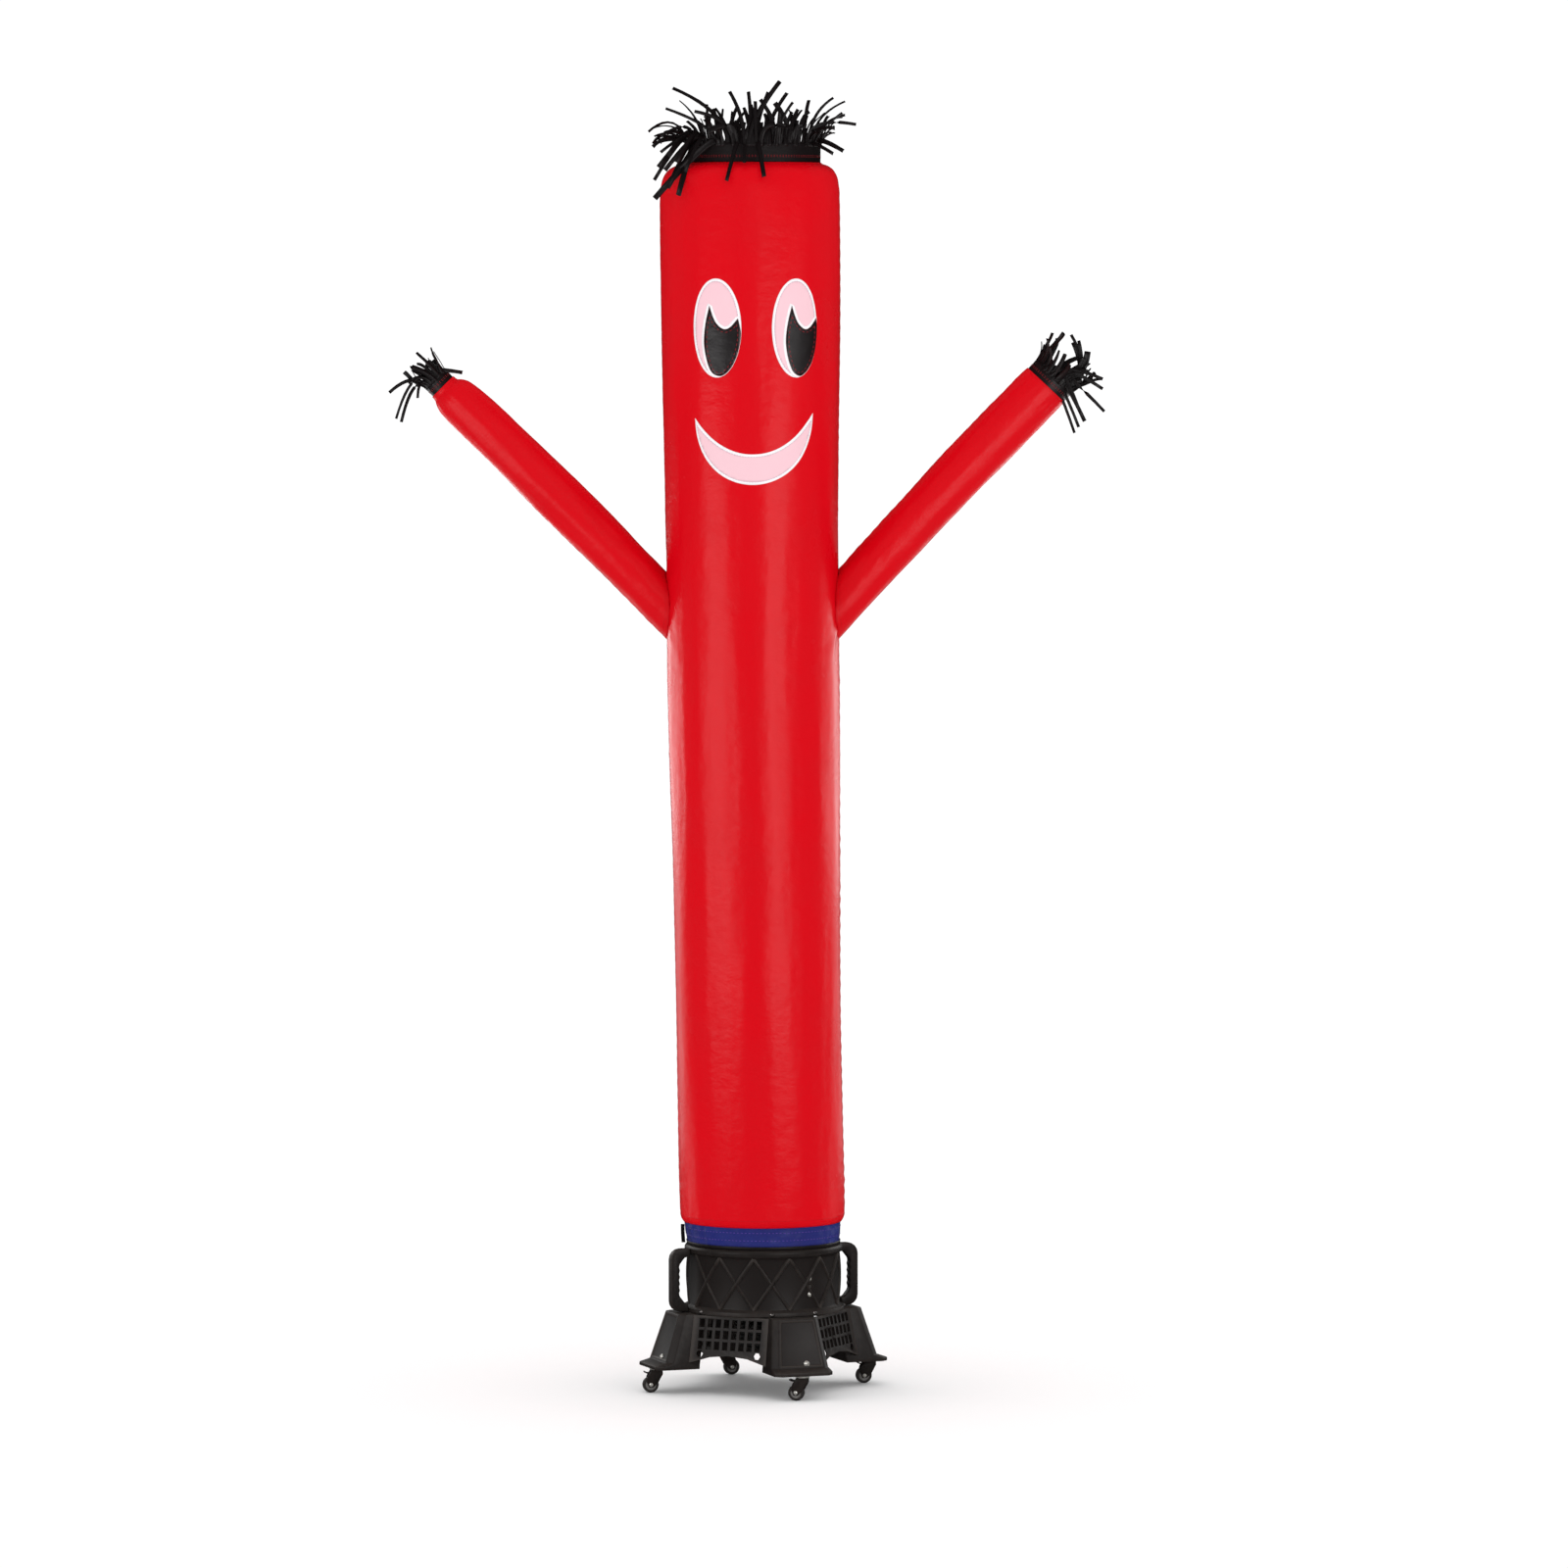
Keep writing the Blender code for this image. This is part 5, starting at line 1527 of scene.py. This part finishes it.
def screw_shape(radius, height):
    """A pan-head screw on its washer with a low cross on its head, its axis along Z."""
    bm = bmesh.new()
    spin_profile(bm, (
        (0.0, 0.0), (radius * 1.55, 0.0), (radius * 1.62, height * 0.12), (radius * 1.55, height * 0.24),
        (radius * 1.04, height * 0.26), (radius, height * 0.45), (radius * 0.86, height * 0.80),
        (radius * 0.55, height * 0.97), (0.0, height),
    ), 20, closed=False)
    for k in range(2):
        bar = bmesh.ops.create_cube(bm, size=1.0)["verts"]
        bmesh.ops.scale(bm, vec=(radius * 1.2, radius * 0.24, height * 0.10), verts=bar)
        bmesh.ops.rotate(bm, matrix=Matrix.Rotation(math.pi / 2 * k, 3, "Z"), verts=bar)
        bmesh.ops.translate(bm, vec=(0.0, 0.0, height * 0.965), verts=bar)
    return bm


def facing(place, out):
    """A matrix whose Z looks out from a place."""
    across = UP.cross(out).normalized()
    return axes(place, across, out.cross(across).normalized(), out.normalized())


def add_screws(name, radius, height, places, finish, body="root"):
    spread_copies(name, screw_shape(radius, height), places, finish_of(finish), body)


def build_drum_fittings():
    """Flange bolts, leg screws, and the three small control bosses with two screws and a button."""
    bolts, screws = [], []
    turn = TURNED.to_3x3()
    for azimuth in LEG_AZIMUTHS.values():
        for shift in (-BOLT_SPREAD, BOLT_SPREAD):
            out = radial(math.radians(azimuth + shift + 3.0))
            place = TURNED @ (out * (FLANGE_RADIUS - 0.0004) + UP * BOLT_HEIGHT)
            bolts.append(facing(place, turn @ out))
        angle = math.radians(azimuth)
        out = radial(angle)
        slope = Vector((out.x, out.y, LEG_SCREW_SLOPE)).normalized()
        shift = tangent(angle) * LEG_SCREW_SHIFT
        place = TURNED @ (out * LEG_SCREW_REACH + shift + UP * LEG_SCREW_HEIGHT)
        screws.append(facing(place, (turn @ slope).normalized()))
    add_screws("flange_bolts", 0.0042, 0.0040, bolts, "blacked")
    add_screws("leg_screws", 0.0052, 0.0044, screws, "steel")
    out = radial(CONTROL_AZIMUTH)
    spots = [AXIS @ (out * (DRUM_WALL - 0.0006) + UP * height) for height in CONTROL_HEIGHTS]
    bm = bmesh.new()
    for spot in spots:
        spin_profile(bm, (
            (0.0, 0.0), (0.0098, 0.0), (0.0104, 0.0012), (0.0100, 0.0024), (0.0078, 0.0027),
            (0.0070, 0.0016), (0.0, 0.0014),
        ), 28, facing(spot, out), closed=False)
    finished("control_bosses", bm, [finish_of("shiny_plastic")], slot="black_plastic", smooth=30.0)
    top, middle, bottom = (facing(spot + out * 0.0013, out) for spot in spots)
    add_screws("control_screws", 0.0038, 0.0034, [top, bottom], "steel")
    bm = bmesh.new()
    button = ((0.0, 0.0), (0.0052, 0.0), (0.0052, 0.0022), (0.0044, 0.0031), (0.0, 0.0034))
    spin_profile(bm, button, 24, middle, closed=False)
    finished("control_button", bm, [finish_of("rubber")], slot="black_plastic", smooth=30.0)


def build_handles():
    for side in ("left", "right"):
        soften_node(f"handle_{side}", f"grip_{side}", "plastic", 0.0050, segments=3, angle=40.0)


def leg_recess(azimuth):
    """Sinks the big outer face of a leg inside a border."""
    out = TURNED.to_3x3() @ radial(math.radians(azimuth))

    def cut(bm):
        bm.normal_update()
        outward = [face for face in bm.faces if face.normal.dot(out) > 0.85]
        panel = max(outward, key=lambda face: face.calc_area())
        bmesh.ops.inset_region(bm, faces=[panel], thickness=0.0065, depth=0.0, use_even_offset=True)
        bmesh.ops.inset_region(bm, faces=[panel], thickness=0.0022, depth=-0.0030, use_even_offset=True)

    return cut


def build_legs():
    """Legs with sunk outer panels."""
    for name, azimuth in LEG_AZIMUTHS.items():
        soften_node(f"leg_{name}", f"leg_shell_{name}", "plastic", 0.0022, recess=leg_recess(azimuth))


def grille_bar(bm, middle, size, place):
    """One bar of the inner guard, upright or level, as a box in the panel's own axes."""
    points = bmesh.ops.create_cube(bm, size=1.0)["verts"]
    bmesh.ops.scale(bm, vec=size, verts=points)
    bmesh.ops.translate(bm, vec=(0.0, middle[0], middle[1]), verts=points)
    bmesh.ops.transform(bm, matrix=place, verts=points)


def build_grilles():
    """Grille panels, each with a guard of deep thin bars behind its holes."""
    for name in PANEL_NAMES:
        soften_node(f"grille_{name}", f"grille_panel_{name}", "plastic", 0.0007, segments=1, angle=40.0)
    bm = bmesh.new()
    for number in range(len(PANEL_NAMES)):
        turn = Matrix.Rotation(math.radians(45.0 + 90.0 * number), 4, "Z")
        lean = Matrix.Rotation(-PANEL_LEAN, 4, "Y")
        place = TURNED @ turn @ Matrix.Translation((GUARD_REACH, 0.0, GRILLE_MIDDLE)) @ lean
        for column in range(9):
            grille_bar(bm, ((column - 4) * GRILLE_PITCH[0], 0.0), GUARD_UPRIGHT, place)
        for row in range(4):
            grille_bar(bm, (0.0, (row - 1.5) * GRILLE_PITCH[1]), GUARD_LEVEL, place)
    finished("grille_guards", bm, [finish_of("plastic")], slot="black_plastic", smooth=30.0)


def build_motor():
    """The motor's can with cooling ribs, on its cross bracket."""
    bm = bmesh.new()
    low, high, wall, rib = MOTOR_LOW, MOTOR_HIGH, MOTOR_RADIUS, MOTOR_RIB_RADIUS
    profile = [(0.0, low), (0.046, low), (0.052, low + 0.003), (0.066, low + 0.004), (wall, low + 0.010)]
    for level in [MOTOR_RIB_LOW + MOTOR_RIB_PITCH * k for k in range(MOTOR_RIBS)]:
        profile += [(wall, level), (rib, level + 0.0010), (rib, level + 0.0042), (wall, level + 0.0052)]
    profile += [(wall, 0.2000), (0.0790, 0.2040), (0.0790, high), (0.0, high)]
    spin_profile(bm, profile, 64, TURNED, closed=False)
    finished("motor_can", bm, [finish_of("motor")], slot="motor_metal", stands_for=["motor"], smooth=30.0)
    soften_node("motor_bracket", "bracket_cross", "plastic", 0.0010, angle=40.0)


# Castors


def stem_place(name):
    """A castor's own axes: Z up its stem, -X to where it trails."""
    azimuth = math.radians(LEG_AZIMUTHS[name])
    stem = TURNED @ (radial(azimuth) * CASTOR_REACH)
    return Matrix.Translation(stem) @ Matrix.Rotation(math.radians(CASTOR_HEADINGS[name] - 180.0), 4, "Z")


def build_castor(name):
    """Plate, fork, wheel with tyre and hub, axle ends and brake pedal."""
    place = stem_place(name)
    bm = bmesh.new()
    top = LEG_FOOT - 0.0003
    spin_profile(bm, (
        (0.0, top), (0.0192, top), (0.0200, top - 0.0008), (0.0200, top - 0.0040), (0.0186, top - 0.0050),
        (0.0120, top - 0.0050), (0.0, top - 0.0050),
    ), 40, place, closed=False)
    finished(
        f"castor_cap_{name}", bm, [finish_of("steel")], slot="castor_steel",
        stands_for=[f"castor_plate_{name}"], smooth=30.0,
    )
    for part, body, width in (("fork", f"swivel_{name}", 0.0012), ("pedal", f"pedal_{name}", 0.0009)):
        soften_node(
            f"castor_{part}_{name}", f"{part}_{name}", "shiny_plastic", width, body, "castor_plastic",
            angle=30.0,
        )
    wheel_place = place @ Matrix.Translation((-CASTOR_TRAIL, 0.0, WHEEL_RADIUS))
    turn = wheel_place @ Matrix.Rotation(math.pi / 2, 4, "X")
    half, radius = WHEEL_HALF_WIDTH, WHEEL_RADIUS
    bm = bmesh.new()
    spin_profile(bm, mirrored((
        (0.0150, -half + 0.0006), (radius - 0.0040, -half), (radius - 0.0016, -half + 0.0010),
        (radius - 0.0003, -half + 0.0032), (radius, -half + 0.0060),
    )), 56, turn)
    finished(
        f"tyre_{name}", bm, [finish_of("rubber")], f"wheel_{name}", "black_rubber",
        [f"castor_wheel_{name}"], smooth=40.0,
    )
    bm = bmesh.new()
    spin_profile(bm, mirrored((
        (0.0, -half - 0.0014), (0.0050, -half - 0.0014), (0.0072, -half - 0.0008), (0.0088, -half + 0.0004),
        (0.0100, -half + 0.0028), (0.0130, -half + 0.0028), (0.0149, -half + 0.0008),
    )), 48, turn, closed=False)
    finished(f"hub_{name}", bm, [finish_of("hub")], f"wheel_{name}", "castor_plastic", smooth=30.0)
    ends = []
    for sign in (-1, 1):
        spot = wheel_place @ Vector((0.0, sign * AXLE_REACH, 0.0))
        ends.append(facing(spot, wheel_place.to_3x3() @ Vector((0.0, sign, 0.0))))
    add_screws(f"axle_{name}", 0.0034, 0.0024, ends, "steel", f"swivel_{name}")


# Stage


def build_world():
    """White to the camera, a soft fill on surfaces, and nearly black in reflections."""
    world = bpy.data.worlds.new("Studio")
    bpy.context.scene.world = world
    world.cycles.sampling_method = "NONE"
    world.use_nodes = True
    tree = world.node_tree
    tree.nodes.clear()
    rays = add_node(tree, "ShaderNodeLightPath").outputs
    white = (1.0, 1.0, 1.0, 1.0)
    fill, gloss, seen = (
        add_node(tree, "ShaderNodeBackground", {"Color": white, "Strength": strength}).outputs[0]
        for strength in (1.08, 0.02, 1.05)
    )
    lit = add_node(tree, "ShaderNodeMixShader", {0: rays["Is Glossy Ray"], 1: fill, 2: gloss})
    mixed = add_node(tree, "ShaderNodeMixShader", {0: rays["Is Camera Ray"], 1: lit.outputs[0], 2: seen})
    add_node(tree, "ShaderNodeOutputWorld", {"Surface": mixed.outputs[0]})


Softbox = namedtuple("Softbox", "name use azimuth distance centre width height radiance")
SOFTBOXES = (
    Softbox("left", "gloss", -47.0, 3.3, 1.66, 2.10, 1.90, 6.40),
    Softbox("right", "gloss", 32.0, 3.3, 1.72, 1.80, 2.20, 6.80),
    Softbox("rim_left", "gloss", -136.0, 3.0, 1.70, 2.10, 0.85, 3.70),
    Softbox("rim_left_low", "gloss", -135.0, 3.0, 0.80, 2.10, 0.95, 1.20),
    Softbox("rim_right", "gloss", 130.0, 3.0, 1.68, 2.40, 0.90, 3.20),
    Softbox("rim_right_low", "gloss", 132.0, 3.0, 0.80, 2.20, 0.90, 1.20),
    Softbox("back", "gloss", 180.0, 5.0, 1.12, 2.60, 2.10, 0.35),
    Softbox("low_left", "gloss", -116.0, 2.4, 0.25, 0.90, 0.45, 1.40),
    Softbox("low_right", "gloss", 108.0, 2.4, 0.25, 0.70, 0.45, 1.20),
    Softbox("eye", "gloss", 58.0, 3.0, 2.95, 0.70, 0.50, 3.00),
    Softbox("upper", "soft", 12.0, 2.6, 3.70, 1.60, 1.00, 1.20),
)


def aim_at(thing, goal):
    """Turns a light or a camera to look at a place, upright."""
    towards = Vector(goal) - Vector(thing.location)
    thing.rotation_mode = "QUATERNION"
    thing.rotation_quaternion = towards.to_track_quat("-Z", "Y")


def add_softbox(box):
    """An upright panel light that faces the object's axis, its azimuth from the camera's side.

    A gloss light only shows in reflections, and a soft one only lights the surface itself.
    """
    light = bpy.data.lights.new(f"softbox_{box.name}", "AREA")
    light.shape = "RECTANGLE"
    light.size = box.width
    light.size_y = box.height
    light.energy = box.radiance * math.pi * box.width * box.height
    lamp = bpy.data.objects.new(light.name, light)
    angle = math.radians(box.azimuth)
    lamp.location = (math.sin(angle) * box.distance, -math.cos(angle) * box.distance, box.centre)
    aim_at(lamp, (0.0, 0.0, box.centre))
    lamp.visible_camera = False
    lamp.visible_diffuse = box.use == "soft"
    lamp.visible_glossy = box.use == "gloss"
    bpy.context.scene.collection.objects.link(lamp)


def build_floor():
    """A plain pale floor that fades out into the white around it."""
    bm = bmesh.new()
    bmesh.ops.create_circle(bm, cap_ends=True, segments=96, radius=9.0)
    mesh = bpy.data.meshes.new("floor")
    bm.to_mesh(mesh)
    bm.free()
    floor = bpy.data.objects.new("floor", mesh)
    bpy.context.scene.collection.objects.link(floor)
    floor.visible_glossy = False
    finish = Finish("Pale floor", (0.97, 0.97, 0.97), 0.85, specular=0.0)
    tree = finish.tree
    reach = add_node(tree, "ShaderNodeVectorMath", {0: finish.coordinates("Object")}, operation="LENGTH")
    inputs = {"Value": reach.outputs["Value"], "From Min": 0.7, "From Max": 3.2}
    fade = add_node(tree, "ShaderNodeMapRange", inputs, clamp=True)
    clear = add_node(tree, "ShaderNodeBsdfTransparent")
    inputs = {0: fade.outputs["Result"], 1: finish.shader.outputs[0], 2: clear.outputs[0]}
    mix = add_node(tree, "ShaderNodeMixShader", inputs)
    feed(tree, mix.outputs[0], tree.nodes["Material Output"].inputs["Surface"])
    mesh.materials.append(finish.material)


def build_camera():
    """The photograph's view: from far away and a little above."""
    camera = bpy.data.cameras.new("camera")
    camera.lens = CAMERA_LENS
    camera.sensor_width = 36.0
    camera.clip_start = 1.0
    camera.clip_end = 120.0
    view = bpy.data.objects.new("camera", camera)
    view.location = CAMERA_PLACE
    aim_at(view, CAMERA_AIM)
    bpy.context.scene.collection.objects.link(view)
    bpy.context.scene.camera = view


# Settings, operators and panel


def colour_property(name, description, default):
    return FloatVectorProperty(
        name=name, description=description, subtype="COLOR", size=3, min=0, max=1, default=default,
    )


def length_property(name, description, default):
    return FloatProperty(name=name, description=description, default=default, subtype="DISTANCE")


class AirDancerSizes(bpy.types.PropertyGroup):
    flute_depth: length_property("Flute depth", "Depth of the long soft waves in the blown tube", 0.0018)
    crease_depth: length_property("Crease depth", "Depth of the soft dents in the cloth", 0.0030)
    pucker_depth: length_property("Pucker depth", "Depth of the puckers beside seams", 0.0016)
    stitch_length: length_property("Stitch length", "Length of one stitch", 0.0034)
    thread_width: length_property("Thread width", "Width of the sewing thread", 0.0009)
    lock_width: length_property("Lock width", "Width of a cut lock of the fringes", 0.0165)
    bold_stitch: FloatProperty(
        name="Bold stitch", description="Size of decorative stitches against plain ones", default=2.4,
        min=1.0,
    )
    hair_locks: IntProperty(
        name="Hair locks", description="Locks in each layer of the hair", default=42, min=8, max=120,
    )
    hand_locks: IntProperty(
        name="Hand locks", description="Locks in each layer of a hand", default=13, min=4, max=60,
    )


class AirDancerColours(bpy.types.PropertyGroup):
    red: colour_property("Red", "Colour of the tube and sleeves", (0.690, 0.0012, 0.0070))
    black: colour_property("Black", "Colour of the fringes and pupils", linear(18, 13, 14))
    blue: colour_property("Blue", "Colour of the skirt", linear(28, 44, 124))
    white: colour_property("White", "Colour of the face's borders", (0.93, 0.92, 0.93))
    pale: colour_property("Pale fill", "Colour of the face's fill", linear(243, 203, 211))
    plastic: colour_property("Plastic", "Colour of the blower", linear(26, 22, 21))


class AIRDANCER_OT_tube(bpy.types.Operator):
    """Sew the red tube"""

    bl_idname = "airdancer.tube"
    bl_label = "Tube"

    def execute(self, context):
        piece = build_tube(context.scene.air_dancer_sizes)
        return {"FINISHED"}


class AIRDANCER_OT_arms(bpy.types.Operator):
    """Sew the two sleeves into the tube"""

    bl_idname = "airdancer.arms"
    bl_label = "Arms"

    def execute(self, context):
        for side, rings in ARM_RINGS.items():
            piece = build_arm(side, context.scene.air_dancer_sizes)
        return {"FINISHED"}


class AIRDANCER_OT_face(bpy.types.Operator):
    """Sew the eyes, pupils and mouth onto the tube"""

    bl_idname = "airdancer.face"
    bl_label = "Face"

    def execute(self, context):
        for side in ("left", "right"):
            build_eye(side, context.scene.air_dancer_sizes)
        build_mouth(context.scene.air_dancer_sizes)
        return {"FINISHED"}


class AIRDANCER_OT_fringes(bpy.types.Operator):
    """Cut the hair and the fringes of the hands"""

    bl_idname = "airdancer.fringes"
    bl_label = "Fringes"

    def execute(self, context):
        look = context.scene.air_dancer_sizes
        place = AXIS @ Matrix.Translation((HAIR_LEAN, 0.0, 0.0))
        band = (HAIR_LOW, HAIR_TOP, HAIR_RADIUS)
        build_fringe(
            "hair_locks", place, band, 144, HAIR_ZONES, look.hair_locks, HAIR_FEATURES, look, 7, "hair",
        )
        counts = {"left": look.hand_locks * 2 // 3, "right": look.hand_locks}
        for seed, (side, hand) in enumerate(HAND_BANDS.items(), 11):
            place = AXIS @ arm_frame(side) @ Matrix.Translation((ARM_RINGS[side][-1].bend, 0.0, 0.0))
            build_fringe(
                f"hand_locks_{side}", place, hand, 64, HAND_ZONES[side], counts[side], HAND_FEATURES[side],
                look, seed, f"hand_{side}",
            )
        return {"FINISHED"}


class AIRDANCER_OT_skirt(bpy.types.Operator):
    """Fit the blue skirt and its tag over the blower's outlet"""

    bl_idname = "airdancer.skirt"
    bl_label = "Skirt"

    def execute(self, context):
        piece = build_skirt(context.scene.air_dancer_sizes)
        strap = build_strap()
        build_tag()
        return {"FINISHED"}


class AIRDANCER_OT_blower(bpy.types.Operator):
    """Mould the drum, handles, legs and grilles, and fit the motor and screws"""

    bl_idname = "airdancer.blower"
    bl_label = "Blower"

    def execute(self, context):
        build_drum()
        build_handles()
        build_legs()
        build_grilles()
        build_motor()
        build_drum_fittings()
        return {"FINISHED"}


class AIRDANCER_OT_castors(bpy.types.Operator):
    """Fit the four castors"""

    bl_idname = "airdancer.castors"
    bl_label = "Castors"

    def execute(self, context):
        for name in LEG_AZIMUTHS:
            build_castor(name)
        return {"FINISHED"}


class AIRDANCER_OT_stage(bpy.types.Operator):
    """Set up the pale floor, the soft lights and the camera"""

    bl_idname = "airdancer.stage"
    bl_label = "Stage"

    def execute(self, context):
        context.scene.view_settings.view_transform = "Standard"
        build_world()
        for box in SOFTBOXES:
            add_softbox(box)
        build_floor()
        build_camera()
        return {"FINISHED"}


STEPS = (
    AIRDANCER_OT_skirt, AIRDANCER_OT_blower, AIRDANCER_OT_tube, AIRDANCER_OT_arms, AIRDANCER_OT_face,
    AIRDANCER_OT_fringes, AIRDANCER_OT_castors, AIRDANCER_OT_stage,
)


class AIRDANCER_PT_panel(bpy.types.Panel):
    """Lists the pieces of the air dancer and their sizes and colours"""

    bl_idname = "AIRDANCER_PT_panel"
    bl_label = "Air dancer"
    bl_space_type = "VIEW_3D"
    bl_region_type = "UI"
    bl_category = "Air dancer"

    def draw(self, context):
        for group in (context.scene.air_dancer_sizes, context.scene.air_dancer_colours):
            for name in group.__annotations__:
                self.layout.prop(group, name)
        for step in STEPS:
            self.layout.operator(step.bl_idname)


CLASSES = (AirDancerSizes, AirDancerColours, *STEPS, AIRDANCER_PT_panel)


def register():
    for kind in CLASSES:
        bpy.utils.register_class(kind)
    bpy.types.Scene.air_dancer_sizes = PointerProperty(type=AirDancerSizes)
    bpy.types.Scene.air_dancer_colours = PointerProperty(type=AirDancerColours)


def unregister():
    del bpy.types.Scene.air_dancer_sizes
    del bpy.types.Scene.air_dancer_colours
    for kind in reversed(CLASSES):
        bpy.utils.unregister_class(kind)


def main():
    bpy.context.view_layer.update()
    register()
    bpy.ops.airdancer.skirt()
    bpy.ops.airdancer.blower()
    bpy.ops.airdancer.tube()
    bpy.ops.airdancer.arms()
    bpy.ops.airdancer.face()
    bpy.ops.airdancer.fringes()
    bpy.ops.airdancer.castors()
    bpy.ops.airdancer.stage()


if __name__ == "__main__":
    main()
